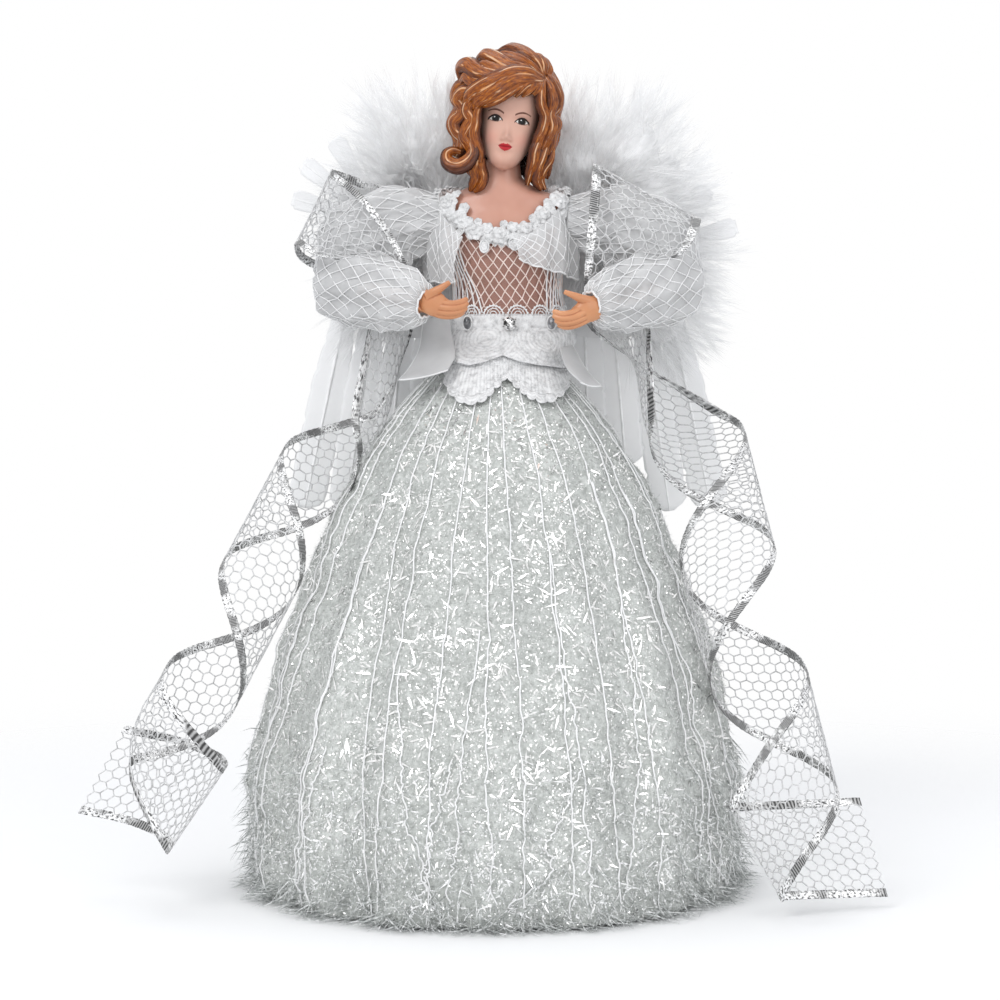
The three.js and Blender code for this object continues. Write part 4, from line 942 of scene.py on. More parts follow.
def makeNeckline():
    outside = neckline["lift"]
    solid, angle = [ringCord(onNeckline(turns(120), outside - 0.8)[0], 0.9, 7)], turns(480)
    centre, away, up, _ = onNeckline(angle, outside - 1.1)
    share = np.linspace(-1, 1, 13)[:, None]
    wave = np.sin(angle * neckline["waves"] + 1.3 * np.sin(angle * 7))
    drop = share * neckline["band"] * (1 + 0.13 * wave * np.abs(share))
    lift = (0.75 * wave * np.abs(share) ** 1.3 * np.sign(share + 0.01) + 0.1 * np.sin(share * 16)
            + 0.8 * (1 - share**2))
    ruffles = [(centre + up * drop[..., None] + away * lift[..., None], gridFaces(13, 480, True))]
    places = [onBust(x, y, outside) + (r,) for x, y, r in neckline["rosettes"]]
    places += [onNeckline(a, outside) + (3.2,) for a in np.linspace(0.12, math.pi - 0.12, neckline["behind"])]
    for middle, away, up, around, radius in places:
        ruffles.append(ruffledDisc(middle, away, up, around, radius, 7))
        ruffles.append(ruffledDisc(middle + away * 1.1, away, up, around, radius * 0.6, 6))
        solid.append(petalBlob(middle + away * 2.2, away, up, around, 0.8, 0.7, 0.5, 0))
    for x, y, radius in neckline["tufts"]:
        spot, away, up, around = onBust(x, y, outside + 0.1)
        ruffles.append(ruffledDisc(spot, away, up, around, radius, 5))
        for turn in turns(6) + x:
            out = turned(around, up, turn)[0] * radius * 0.7
            solid.append(petalBlob(spot + out + away * 0.25, away, up, around, radius * 0.32, 0.42, 0.4, turn))
    for x, y, long, wide, turn in neckline["petals"]:
        middle, away, up, around = onBust(x, y, outside + 0.6)
        solid.append(petalBlob(middle, away, up, around, long, wide, 0.4, turn))
        ahead, aside = turned(around, up, turn)
        loop = np.arange(21) / 20 * fullTurn
        for share in (1, 0.6):
            ring = np.outer(np.cos(loop) * long, ahead) + np.outer(np.sin(loop) * wide, aside)
            solid.append(cord(middle + away * 0.3 + share * ring, 0.3))
    ruffled = meshPiece("necklineRuffles", *joinParts(ruffles), "lace")
    finish(addThickness(ruffled, 0.22), "lace")
    partsPiece("necklineFlowers", solid, "lace", "lace", "neckline_flowers")


makeNeckline()

# Shoulder capes of the same net: top and hem lines run from the front round the shoulder
capes = {
    "left": {"top": [(463, 237, -18), (452, 226, -15), (442, 214, -9), (434, 206, -2), (431, 203, 6), (440, 200, 13)],
             "hem": [(455, 281, -17.5), (445, 282, -15.5), (434, 281, -11), (426, 279, -4), (425, 276, 5),
                     (433, 268, 12)]},
    "right": {"top": [(513, 238, -19.5), (530, 233, -18.5), (546, 222, -14.5), (558, 208, -8), (566, 201, 0),
                      (563, 198, 10)],
              "hem": [(519, 258, -20.5), (540, 266, -19.5), (560, 271, -15.5), (573, 276, -8), (580, 279, 0),
                      (574, 274, 11)]},
}


def makeCape(name):
    top, hem = (seenPath(capes[name][key], 12) for key in ("top", "hem"))
    share = np.linspace(0, 1, 26)[:, None, None]
    along = np.linspace(0, 1, len(top))[None, :, None]
    away = (top + hem)[None] / 2 * [1, 1, 0] - [3, 0, 0]
    scallop = -0.5 * np.abs(np.sin(along * 30)) * share * [0, 0, 1]
    swell = 1.9 * np.sin(share * math.pi) + 0.7 * np.sin(along * 26 + share * 2) * (0.3 + share) - 0.8 * share
    grid = mix(top[None], hem[None], share) + scallop + unit(away) * swell
    cloth = finish(gridPiece(name + "CapeCloth", grid, "sleeveCloth"), "net", name + "_shoulder_cape")
    threads = netOver(grid, 4.4, 2.9, False, wobble=0.1)
    net = finish(threadPiece(name + "CapeNet", *threads, bodice["thread"], "thread"), "net")
    edge = partsPiece(name + "CapeHem", [cord(grid[-1], 0.34)], "thread", "net")


for name in sides:
    makeCape(name)
print("bodice made")

# Belt and its stones
belt = {"low": 199, "high": 205.6, "out": 1.35, "arches": 15}


def makeBelt():
    z, angle = crossed(np.linspace(belt["low"], belt["high"], 14), turns(160))
    share = (z - belt["low"]) / (belt["high"] - belt["low"])
    out = (belt["out"] + 0.16 * np.sin(share * 14 + 2 * np.sin(angle * 5)) + 0.1 * np.sin(angle * 61 + share * 5)
           + 0.14 * np.sin(angle * 17 - share * 4) - 0.5 * (2 * share - 1) ** 6)
    outside, inside = bustPoint(z, angle, out), bustPoint(z[::-1], angle, 0.35)
    piece = gridPiece("waistBelt", np.concatenate([outside, inside, outside[:1]]), "lace", closed=True)
    finish(piece, "satin", "waist_belt")
    makeArches()


# A row of small arches stands on the belt's upper edge, each with a ring inside it and loops along its top
def makeArches():
    parts = []
    step = fullTurn / belt["arches"]
    arch = lambda middle, turn, wide, high: bustPoint(belt["high"] - 0.4 + high * np.sin(turn),
                                                      middle - wide * step * np.cos(turn), bodice["out"] + 0.75)
    for k in range(belt["arches"]):
        middle = (k + 0.62) * step
        for high, wide, radius in ((3.2, 0.4, 0.26), (2.3, 0.27, 0.17), (1.3, 0.14, 0.17)):
            parts.append(cord(arch(middle, np.linspace(0, math.pi, 19), wide, high), radius))
        for turn in np.linspace(0.2, math.pi - 0.2, 9):
            spot = arch(middle, turn, 0.42, 3.45)
            parts.append(petalBlob(spot, *onNeckline(middle, 0)[1:], 0.36, 0.36, 0.3, 0))
    partsPiece("bodiceArches", parts, "thread", "lace")


def boxPlaces(node):
    return ((np.array(corner) - origin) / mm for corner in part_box(node))


def makeCentreStone():
    low, high = boxPlaces("centre_rhinestone")
    across, back, up = (low[0] + high[0]) / 2, high[1], (low[2] + high[2]) / 2
    rings = []
    for k, (radius, out) in enumerate([(2.15, 0), (2.15, 0.35), (1.75, 0.95), (1.15, 1.35)]):
        turn = turns(16) + (k % 2) * fullTurn / 32
        rings.append(np.stack([across + radius * np.cos(turn), back - out + 0 * turn, up + radius * np.sin(turn)], -1))
    points = np.vstack(rings + [[[across, back - 1.35, up], [across, back + 0.1, up]]])
    faces = gridFaces(4, 16, True) + fan(64, 48, 16) + fan(65, 0, 16, True)
    finish(meshPiece("centreRhinestone", points, faces, "clear", smooth=False), "clear_stone", "centre_rhinestone")
    claws = []
    for turn in turns(6) + fullTurn / 12:
        path = [[across + reach * math.cos(turn), back - out, up + reach * math.sin(turn)]
                for reach, out in ((2.45, -0.6), (2.5, 0.5), (2.1, 1.05), (1.55, 1.2))]
        claws.append(cord(curveThrough(path, 4), 0.3))
    partsPiece("rhinestoneClaws", claws, "steel", "stone_cup")


def makeSideStone(name):
    low, high = boxPlaces(name + "_smoke_stone")
    x, y, z = (high + low) / 2
    wide, deep, tall = (high - low) / 2 * [1.1, 1, 1.12]
    a, b, c = ballWaves(np.linspace(0, math.pi / 2, 12), 28)
    grid = np.stack([x + wide * a, high[1] - 2 * deep * c, z + tall * b], -1)
    count = a.size
    points = np.vstack([grid.reshape(-1, 3), [[x, high[1], z]]])
    faces = gridFaces(12, 28, True) + fan(count, count - 28, 28, True)
    finish(meshPiece(name + "SmokeStone", points, faces, "smoke"), "smoke_stone", name + "_smoke_stone")
    turn = np.arange(41) / 40 * fullTurn
    rim = np.stack([x + (wide + 0.1) * np.cos(turn), high[1] - 0.2 + 0 * turn, z + (tall + 0.1) * np.sin(turn)], -1)
    partsPiece(name + "StoneSetting", [cord(rim, 0.32, 8)], "cup", "stone_cup", name + "_stone_cup")


makeBelt()
makeCentreStone()
for name in sides:
    makeSideStone(name)

# Peplum: an under ruffle, a tier of swags, lobes of lace and petals of satin on the skirt's top
peplum = {
    "bottom": 187.5, "scallops": 22,
    "swag": [(448, 357), (456, 361), (468, 364.5), (485, 361), (503, 354.5), (521, 361), (541, 364.5), (563, 367),
             (576, 364)],
}
lobes = {
    "left": {"top": [(452, 350), (478, 352), (506, 348)],
             "rim": [(447, 364), (446, 376), (448, 387), (455, 396), (465, 402), (477, 401), (487, 396), (493, 387),
                     (501, 381), (508, 370.5)]},
    "right": {"top": [(505.8, 348), (536, 352), (566, 352)],
              "rim": [(508, 370.5), (513, 382), (521, 387), (527, 394), (536, 398), (547, 401), (557, 396),
                      (564, 390), (568, 381), (568, 364)]},
}
petals = {
    "left": {"inner": [(450, 318, -7), (451, 331, -11), (454, 345, -17), (455, 357, -23), (448, 370, -28)],
             "outer": [(424, 317, -8), (422, 332, -10), (419, 350, -14), (408, 370, -21), (399, 380, -26)]},
    "right": {"inner": [(560, 348, -21), (562, 357, -24), (565, 365, -27), (571, 374, -30), (580, 382, -31)],
              "outer": [(572, 345, -7), (577, 354, -11), (583, 365, -16), (592, 377, -22), (601, 386, -27)]},
}


def drapeSection(z, lift):
    share = smoothstep(0, belt["low"] - skirt["top"], belt["low"] - z)
    hoop = skirtRadius(np.minimum(z, skirt["top"])) + skirt["foldDepth"] + lift
    _, _, wide, deep = bustSection(belt["low"], 0.3 + lift)
    return mix(bust["waistAside"], 0, share), 0, mix(wide, hoop, share), mix(deep, hoop, share)


def drape(angle, z, lift):
    return onSection(drapeSection(z, lift), z, angle)


def onDrape(across, down, lift):
    return seenOn(across, down, lambda z: drapeSection(z, lift))


def ruffle():
    share, angle = crossed(np.linspace(0, 1, 22), turns(352))
    wave = np.abs(np.sin(angle * peplum["scallops"] / 2))
    z = mix(198.9, peplum["bottom"] - 1.9 * wave + 0.5 * np.sin(angle * 3), share)
    return drape(angle, z, 0.7 + (0.75 * (wave - 0.4) + 0.3 * np.sin(angle * 9)) * share)


# The swags' lower edge, from where it is seen in front; it goes on in the same way round the back
def swagTier(lift):
    spots = onDrape(*np.array(peplum["swag"]).T, lift + 1)
    middle, _, wide, deep = drapeSection(spots[:, 2], lift + 1)
    front = np.arctan2(spots[:, 1] / deep, (spots[:, 0] - middle) / wide)
    front = np.where(front > 0.5, front - fullTurn, front)
    back = np.linspace(front[-1], front[0] + fullTurn, 18)[1:-1]
    behind = spots[:, 2].min() + 2.6 * np.abs(np.cos(np.arange(16) * math.pi / 3.4))
    share, angle = crossed(np.linspace(0, 1, 40), turns(420) - math.pi)
    edge = np.interp(angle, np.concatenate([front, back]), np.concatenate([spots[:, 2], behind]), period=fullTurn)
    folds = 0.2 * np.sin(share * 15 + 2.5 * np.cos(angle * 4)) + 0.1 * np.sin(angle * 46 + share * 6) * share
    out = mix(1.15, lift, smoothstep(0, 0.22, share)) + 0.9 * share**1.5 + folds * np.minimum(1, 3 * share)
    return drape(angle, mix(200.6, edge, share), out)


# Rows of stitches: the phase of their waves at each point
def stitch(piece, phase):
    keepValues(piece, "stitch", "FLOAT", "value", phase)


def makePeplum():
    under, swags = ruffle(), swagTier(2.6)
    piece = finish(gridPiece("peplumUnder", under, "lace", closed=True), "lace", "peplum")
    upper = gridPiece("peplumSwags", swags, "lace", closed=True)
    front = onDrape([485, 545], 339, 2.6)
    hearts = np.vstack([front, front * [1, -1, 1]])
    away = np.linalg.norm(swags[:, :, None] - hearts, axis=3).min(2)
    stitch(upper, away * 4.1 + lumps(swags, 0.25, 2.5))
    finish(addThickness(upper, 0.3), "lace")
    cords = [ringCord(under[-1], 0.3), ringCord(swags[-1], 0.36)]
    cords += [ringCord(swags[row], 0.16) for row in (-5, -9, -14, -20)]
    hems = partsPiece("peplumHems", cords, "lace", "lace")


# Lobes of lace: small scallops along the rim, rings of stitches inside
def makeLobe(name):
    rim, top = (np.array(lobes[name][key], float) for key in ("rim", "top"))
    t = np.linspace(0, 1, 9)[:-1, None]
    outline = []
    for a, b in zip(rim[:-1], rim[1:]):
        aside = np.array([a[1] - b[1], b[0] - a[0]]) / np.linalg.norm(b - a)
        outline.append(mix(a, b, t) + aside * 3.1 * np.sin(t * math.pi) ** 0.7)
    outline = np.vstack(outline + [rim[-1:]])
    spread = np.linspace(0, len(top) - 1, len(outline))
    top = np.stack([np.interp(spread, np.arange(len(top)), top[:, k]) for k in (0, 1)], -1)
    share = np.linspace(0, 1, 44)[:, None]
    pixels = mix(top[None], outline[None], share[..., None])
    over = np.linspace(-1, 1, len(outline))[None]
    rings = 0.12 * np.sin(share * 44) * smoothstep(0.3, 0.6, share) + 0.1 * np.sin(over * 40) * share
    grid = onDrape(pixels[..., 0], pixels[..., 1], 1.35 + rings + 0.35 * np.sin(over * 2.6 + 1) * share)
    piece = gridPiece(name + "LaceLobe", grid, "lace")
    stitch(piece, np.where(share > 0.86, share * 90, over * 74))
    finish(addThickness(piece, 0.4), "lace", name + "_lace_lobe")
    cords = [cord(grid[row], radius) for row, radius in ((-1, 0.24), (-4, 0.17), (-9, 0.17))]
    hem = partsPiece(name + "LaceLobeHem", cords, "lace", "lace")


def makePetal(name):
    inner, outer = (seenPath(petals[name][key], 10) for key in ("inner", "outer"))
    share = np.linspace(0, 1, 30)[None, :, None]
    along = np.linspace(0, 1, len(inner))[:, None, None]
    arch = np.sin(share * math.pi)
    grid = (mix(inner[:, None], outer[:, None], share) - [0, 0, 0.7] * arch * along**4
            - [0, 1, 0] * (1.8 * arch + 0.5 * np.sin(share * 9) * along))
    # the petals' paint is the satin darkened, as painted shade
    piece = addThickness(gridPiece(name + "SatinPetal", grid, "organza"), 0.4)
    finish(piece, "satin", name + "_satin_petal")
    rim = np.vstack([grid[:, -1], grid[-1, ::-1][1:]])
    hem = partsPiece(name + "SatinPetalHem", [cord(rim, 0.3)], "satin", "satin")


makePeplum()
for name in sides:
    makeLobe(name)
    makePetal(name)
print("waist made")


# Arms: forearm and hand in one, with four fingers curled side by side and a thumb
arm = {"middle": 4, "shoulder": (22.5, 0, 240), "elbow": (61, 3, 217), "wrist": (28.5, 33.5, 208.5), "radius": 3.7}
hands = {
    "left": {
        "palm": [(423, 301, -32.5), (429, 302, -33.8), (435, 304, -34.6), (442, 307, -35), (449, 308, -35)],
        "fingers": [[(432, 299, -34.4), (442, 302.4, -35.8), (451.5, 303.8, -36.4), (460.6, 302.2, -36.4),
                     (467.6, 298.6, -35.6)],
                    [(432, 304.7, -34.8), (442, 307.4, -36.3), (452.5, 308.2, -36.9), (461.7, 306.6, -36.7),
                     (468.2, 303, -35.8)],
                    [(432, 309.3, -34.6), (442, 312, -36), (452.5, 312.6, -36.6), (461.5, 310.8, -36.4),
                     (467, 307.4, -35.6)],
                    [(433, 313, -34.2), (442, 315.8, -35.2), (451.4, 316.2, -35.7), (459.4, 314.4, -35.6),
                     (464.4, 311.6, -35)]],
        "thumb": [(428.5, 297, -34.4), (434, 292.5, -35.6), (441, 288, -36.3), (450, 282, -36.6)]},
    "right": {
        "palm": [(601, 306, -32.5), (594, 308, -33.8), (588, 310, -34.6), (581, 313.5, -35), (574, 316, -35)],
        "fingers": [[(590.3, 304, -34.4), (581, 308.4, -35.8), (572, 312.8, -36.4), (561.6, 314, -36.4),
                     (552.8, 311, -35.6)],
                    [(591.5, 308.6, -34.8), (582.3, 313.4, -36.3), (573, 317.6, -36.9), (561.6, 318.6, -36.7),
                     (552.6, 315.6, -35.8)],
                    [(591.5, 313, -34.6), (582.3, 318, -36), (573, 322, -36.6), (562.8, 323, -36.4),
                     (554.7, 320.4, -35.6)],
                    [(592, 317, -34.2), (583.4, 322, -35.2), (574.3, 325.8, -35.7), (565, 327, -35.6),
                     (557.6, 325, -35)]],
        "thumb": [(590, 302, -34.4), (583, 299.5, -35.6), (575, 296, -36.3), (564, 291.6, -36.6)]},
}


def armPlace(side, out, forward, z):
    return np.array([arm["middle"] + side * out, -forward, z], float)


# A tube through places, with radii given at some of its steps
def limb(path, cuts, steps, radii, *shape):
    return sweep(curveThrough(path, cuts), np.interp(np.arange(steps[-1] + 1), steps, radii), *shape)


def makeHand(name):
    wrist, elbow = (armPlace(sides[name], *arm[key]) for key in ("wrist", "elbow"))
    palm, thumb, *fingers = ([seen(*spot) for spot in path]
                             for path in (hands[name]["palm"], hands[name]["thumb"], *hands[name]["fingers"]))
    start = mix(elbow, wrist, 0.3)
    parts = [limb([start, mix(start, wrist, 0.5), mix(start, wrist, 0.85), palm[0]], 6, [0, 9, 15, 18],
                  arm["radius"] * np.array([0.85, 1, 1, 1.05]), 20),
             limb(palm, 6, [0, 6, 12, 18, 24], [3.9, 4.3, 4.5, 3.9, 2.8], 20, 0.56, (0, 0, 1))]
    for path, size in zip(fingers, (1.16, 1.12, 1.08, 1.02)):
        parts.append(limb(path, 6, [0, 6, 12, 18, 22, 24], np.array([1.1, 1.12, 1.08, 1.0, 0.86, 0.62]) * size, 16))
    parts.append(limb(thumb, 7, [0, 7, 14, 21], [2.1, 1.75, 1.3, 0.8], 16))
    piece = meshPiece(name + "Hand", *joinParts(parts), "hand")
    remeshed(piece, 0.24)
    keepGrooves(piece, 16, 0.4)
    finish(piece, "moulded_hand", name + "_hand", body=name + "_arm")


# Sleeves: a puff over the upper arm and a lower part round the forearm, in cloth under a net of diamonds
sleeve = {"cellWide": 4.0, "cellHigh": 4.0, "thread": 0.21, "out": 0.35}


def tubeGrid(path, radii, flat, columns, folds):
    grow = lambda turn, i: radii[i] + folds(turn, i / (len(path) - 1))
    return ringsAlong(path, columns, grow, flat, (0, 0, 1))


def makeSleeve(name):
    body = name + "_arm"
    at = lambda out, forward, z: armPlace(sides[name], out, forward, z)
    wrist, elbow = at(*arm["wrist"]), at(*arm["elbow"])
    reach = unit(wrist - elbow)
    path = curveThrough([at(21, 0, 238.6), at(29, 0, 238), at(39, 0.5, 236.8), at(49, 1.5, 231), at(61, 3, 221.5),
                         at(68.5, 3, 218.5)], 12)
    radii = smoothLine([0, 1, 2, 3, 4, 5], [8.2, 10.4, 13.7, 15.9, 13.6, 2.5])(np.linspace(0, 5, len(path)))
    spread = lambda turn, share: (
        0.9 * np.sin(turn * 7 + share * 3 + np.sin(share * 9)) + 0.6 * np.sin(turn * 13 - share * 5)
        + 0.55 * np.sin(share * 34 + turn * 2 + 2 * np.sin(turn * 3))
        + 0.45 * np.sin(turn * 29 + share * 8 + np.sin(share * 23))) * math.sin(min(1, share * 1.15) * math.pi) ** 0.5
    puff = tubeGrid(path, radii, 0.8, 150, spread)
    path = curveThrough([elbow - reach * 7, elbow, mix(elbow, wrist, 0.35), mix(elbow, wrist, 0.7),
                         wrist - reach * 0.5], 16)
    radii = smoothLine([0, 1, 2, 3, 3.6, 3.88, 4], [3, 13, 13, 10.8, 8.6, 6.6, 4.5])(np.linspace(0, 4, len(path)))
    crush = lambda turn, share: (
        0.75 * np.sin(turn * 8 + share * 4) * (0.5 + share) + 0.5 * np.sin(turn * 3 + share * 26)
        + 0.4 * np.sin(share * 60 + turn * 2 + 2 * np.sin(turn * 4)) * share
        + 0.3 * np.sin(turn * 17 - share * 6) * share) * (1 - 0.8 * smoothstep(0.85, 1, share))
    lower = tubeGrid(path, radii, 0.87, 130, crush)
    made = []
    for part, grid in (("Puff", puff), ("Cuff", lower)):
        cloth = addThickness(gridPiece(name + "Sleeve" + part, grid, "sleeveCloth", closed=True), 0.3, -1)
        outside = grid + unit(grid - grid.mean(1, keepdims=True)) * sleeve["out"]
        threads = netOver(outside, sleeve["cellWide"], sleeve["cellHigh"], False, True, 0.12)
        net = threadPiece(name + "Sleeve" + part + "Net", *threads, sleeve["thread"], "thread")
        for piece in (cloth, net):
            if part == "Puff":
                place(at(20, 0, 240))[0]
                place(at(33, 0, 240))[0]
                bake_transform(piece)
            else:
                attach(piece, body)
        made += [cloth, net]
    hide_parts(name + "_sleeve")
    edge = partsPiece(name + "CuffEdge", [ringCord(lower[-1], 0.42)], "thread", "net", body=body)


# Ribbons: rows over the arm, then a curl wound on a leaning axis, then an end that is folded back
ribbon = {"width": 38, "fit": 34.5, "edge": 3.2, "cell": 4.15, "thread": 0.24, "foil": 0.3, "cuts": 6}
rowShares = {
    "left": [[[.84, .34, .29], [.84, .34, -.68]], [[1.26, .37, .34], [1.42, .37, -.63]],
             [[1.63, .16, .45], [1.95, .21, -.42]], [[1.63, -.16, .42], [2, -.16, -.26]],
             [[1.37, -.45, .21], [1.92, -.45, -.29]], [[1.08, -.53, -.16], [1.79, -.52, -.37]],
             [[.92, -.5, -.5], [1.52, -.42, -.42]], [[.89, -.25, -.74], [1.36, -.2, -.53]],
             [[.87, .05, -.95], [1.3, .1, -.82]]],
    "right": [[[.84, .34, .34], [.84, .34, -.63]], [[.95, .37, .42], [1.21, .37, -.58]],
              [[.84, .16, .5], [1.75, .21, -.21]], [[.79, -.16, .47], [1.8, -.16, -.02]],
              [[.76, -.45, .16], [1.76, -.47, -.12]], [[.72, -.53, -.26], [1.68, -.52, -.28]],
              [[.7, -.5, -.58], [1.52, -.42, -.42]], [[.7, -.25, -.78], [1.36, -.2, -.53]],
              [[.72, .05, -.96], [1.34, .08, -.82]], [[.86, .2, -1.12], [1.34, -.04, -1.08]]],
}
tailShares = {
    "left": [[[2.53, -1.68, -4.92], [3.08, -1.58, -5.74]], [[2.6, -1.25, -4.9], [3.14, -1.15, -5.72]],
             [[3.02, -.76, -4.82], [3.54, -.7, -5.64]], [[3.55, -.72, -4.71], [4, -.68, -5.54]]],
    "right": [[[1.98, -1.47, -5.33], [2.45, -1.68, -6.16]], [[2.02, -1.37, -5.33], [2.49, -1.58, -6.17]],
              [[2.6, -1.2, -5.33], [2.94, -1.4, -6.19]], [[3.21, -1.1, -5.32], [3.45, -1.28, -6.2]]],
}
curls = {
    "left": {"radius": 13.9, "lead": 90, "aside": -43.5, "back": 8, "lean": -.52, "forward": .44, "turn": -.19,
             "start": 14, "lag": 16, "end": 146, "slant": 26},
    "right": {"radius": 17, "lead": 88.5, "aside": 64.5, "back": 0, "lean": .24, "forward": .32, "turn": 4.16,
              "start": 20, "lag": 2, "end": 152, "slant": 35},
}


def curlPoint(curl, down, share):
    climb = fullTurn * curl["radius"] / curl["lead"]
    halfTurn = ribbon["fit"] / (curl["radius"] * math.cos(math.atan(climb)))
    axis = unit(np.array([[curl["lean"], -curl["forward"], -1.0]]))[0]
    sideways = np.array([1, 0, 0]) - axis * axis[0]
    sideways /= np.linalg.norm(sideways)
    crossways = np.cross(axis, sideways)
    angle = curl["turn"] + math.copysign(1, curl["lean"]) * (fullTurn * down / curl["lead"] - share * halfTurn)
    return (np.array([curl["aside"], curl["back"], 190]) + axis * down
            + curl["radius"] * (sideways * math.cos(angle) + crossways * math.sin(angle)))


def ribbonLine(name, share):
    curl = curls[name]

    def placed(table):
        rows = np.array(table, float)
        between = mix(rows[:, 0], rows[:, 1], share) * ribbon["width"]
        return [armPlace(sides[name], out, -back, 240 + up) for out, back, up in between]

    steps = round((curl["end"] - curl["start"]) / curl["lead"] * 12)
    downs = mix(curl["start"] + curl["lag"] * share, curl["end"] + curl["slant"] * share, np.linspace(0, 1, steps + 1))
    hanging = [curlPoint(curl, down, share) for down in downs]
    return curveThrough(placed(rowShares[name]) + hanging + placed(tailShares[name]), ribbon["cuts"])


def ribbonBand(name, low, high, columns):
    return np.stack([ribbonLine(name, share) for share in np.linspace(low, high, columns)], 1)


# A foil edge, finely crinkled
def makeFoil(name, label, low, high):
    coarse = ribbonBand(name, low, high, 7)
    knots = np.arange(len(coarse))
    rows = np.linspace(0, knots[-1], len(coarse) * 4)
    fine = np.array([[np.interp(rows, knots, line) for line in column] for column in coarse.transpose(1, 2, 0)])
    fine = fine.transpose(2, 0, 1)
    along, across = np.gradient(fine, axis=0), np.gradient(fine, axis=1)
    normal = unit(np.cross(along, across))
    run = lengthsAlong(fine[:, 3])[:, None]
    crinkle = (0.07 * np.sin(run * 3.1 + 0.8 * np.linspace(-1, 1, 7) + 2 * np.sin(run * 0.21))
               + chance.normal(0, 0.05, fine.shape[:2]))
    wobble = 0.07 * np.sin(run * 2.3 + 1.5 * np.sin(run * 0.4))
    fine = fine + normal * crinkle[..., None] + unit(across)[:, :1] * wobble[..., None]
    trim = gridPiece(name + "Foil" + label, fine, "foil", long=run[-1, 0] / 3)
    return finish(addThickness(trim, ribbon["foil"]), "foil_edge", name + "_ribbon_" + label.lower() + "_edge",
                  body=name + "_arm")


def makeRibbon(name):
    edge = ribbon["edge"] / ribbon["width"]
    band = ribbonBand(name, edge * 0.8, 1 - edge * 0.8, 17)
    points, edges = netOver(band, ribbon["cell"], ribbon["cell"] * 0.9)
    net = threadPiece(name + "RibbonNet", points, edges, ribbon["thread"], "ribbonThread")
    finish(net, "ribbon_net", name + "_ribbon_net", body=name + "_arm")
    trims = [makeFoil(name, label, low, high) for label, low, high in (("Inner", 0, edge), ("Outer", 1 - edge, 1))]
    drawn = sum(np.linalg.norm(points[a] - points[b]) for a, b in edges)


for name in sides:
    makeHand(name)
    makeSleeve(name)
    makeRibbon(name)
print("arms made")

# Wings: a soft core, plumes on it, long vane feathers behind and short feathers at the top corner
wing = {"padBack": 23.7, "root": 206, "reach": 62, "top": 46, "radius": 17, "plumes": 1300, "plumeLong": 0.0152}
tufts = {
    "left": [(.3, .75, 1), (.36, 1.25, 1), (.58, 1.32, .86), (.74, .96, .6), (.81, .52, .62), (.76, .1, .5),
             (.6, .6, 1.2)],
    "right": [(.3, .75, 1), (.36, 1.25, 1), (.68, 1.26, .95), (.86, .92, .95), (.92, .42, .95), (.88, 0, .8),
              (.6, .6, 1.2)],
}
quills = [(.4, .3, .52, 2), (.56, .42, .73, 5), (.72, .56, .96, 8), (.86, .7, 1, 12)]
quill = {"length": 92, "halfWidth": 7, "blunt": 9}
tipShifts = {"left": [(-3, 0, 9), (-1, 0, 11), (5, 0, 12)], "right": [(0, 0, 2)] * 3}


def wingPlace(side, out, back, up):
    return np.array([arm["middle"] + side * out, back, wing["root"] + up], float)


# One plume: a curved shaft with soft barbs on both sides, a unit long
def makePlume(name, seed):
    rolls = np.random.default_rng(seed)
    points, faces = [], []

    def slip(path, width, aside):
        start = len(points)
        for k, spot in enumerate(path[:-1]):
            wide = aside * width * (1 - 0.5 * k / len(path))
            points.extend([spot - wide, spot + wide])
        points.append(path[-1])
        for k in range(len(path) - 2):
            a = start + 2 * k
            faces.append([a, a + 1, a + 3, a + 2])
        a = start + 2 * (len(path) - 2)
        faces.append([a, a + 1, a + 2])

    spine = lambda s: np.array([0.14 * s * s, 0, s])
    slip([spine(s) for s in (0, 0.3, 0.6, 0.9)], 0.009, np.array([0, 1, 0]))
    for s in np.linspace(0.02, 0.78, 17):
        for sign in (-1, 1):
            long = (0.2 + 0.24 * math.sin(s * math.pi)) * rolls.uniform(0.7, 1.25)
            out = np.array([rolls.uniform(-0.5, 0.5), sign * rolls.uniform(0.5, 1), 0]) * long
            rise = np.array([0, 0, long * rolls.uniform(0.9, 1.9)])
            root = spine(s)
            path = [root, root + out * 0.34 + rise * 0.4, root + out * 0.42 + rise]
            slip(path, 0.0065, np.array([0.3, 0.6 * sign, 0.6]))
    mesh = bpy.data.meshes.new(name)
    mesh.from_pydata([list(p) for p in points], [], faces)
    return addPiece(name, mesh)


def vane(length):
    share, over = crossed(np.linspace(0, 1, 44), np.linspace(-1, 1, 13))
    half = quill["halfWidth"]
    rounding = np.sqrt(np.maximum(0, 1.02 - share ** quill["blunt"]))
    width = np.maximum(half * np.minimum(1, rounding * mix(0.3, 1.7, share)), 0.05 * half)
    notch = 1 - 0.12 * np.maximum(0, np.sin(share * 57 + over * 2)) ** 6
    return over * width * notch, 0.09 * half * np.abs(over) ** 1.5 + 0.02 * length * share**2, -share * length


def finishFeather(name, node, grid, long, wall, middle, radii, columns):
    finish(addThickness(gridPiece(name, grid, "quill", long=long), wall), "quill", node)
    partsPiece(name + "Shaft", [sweep(middle - [0, 0.15, 0], radii, columns)], "shaft", "quill")


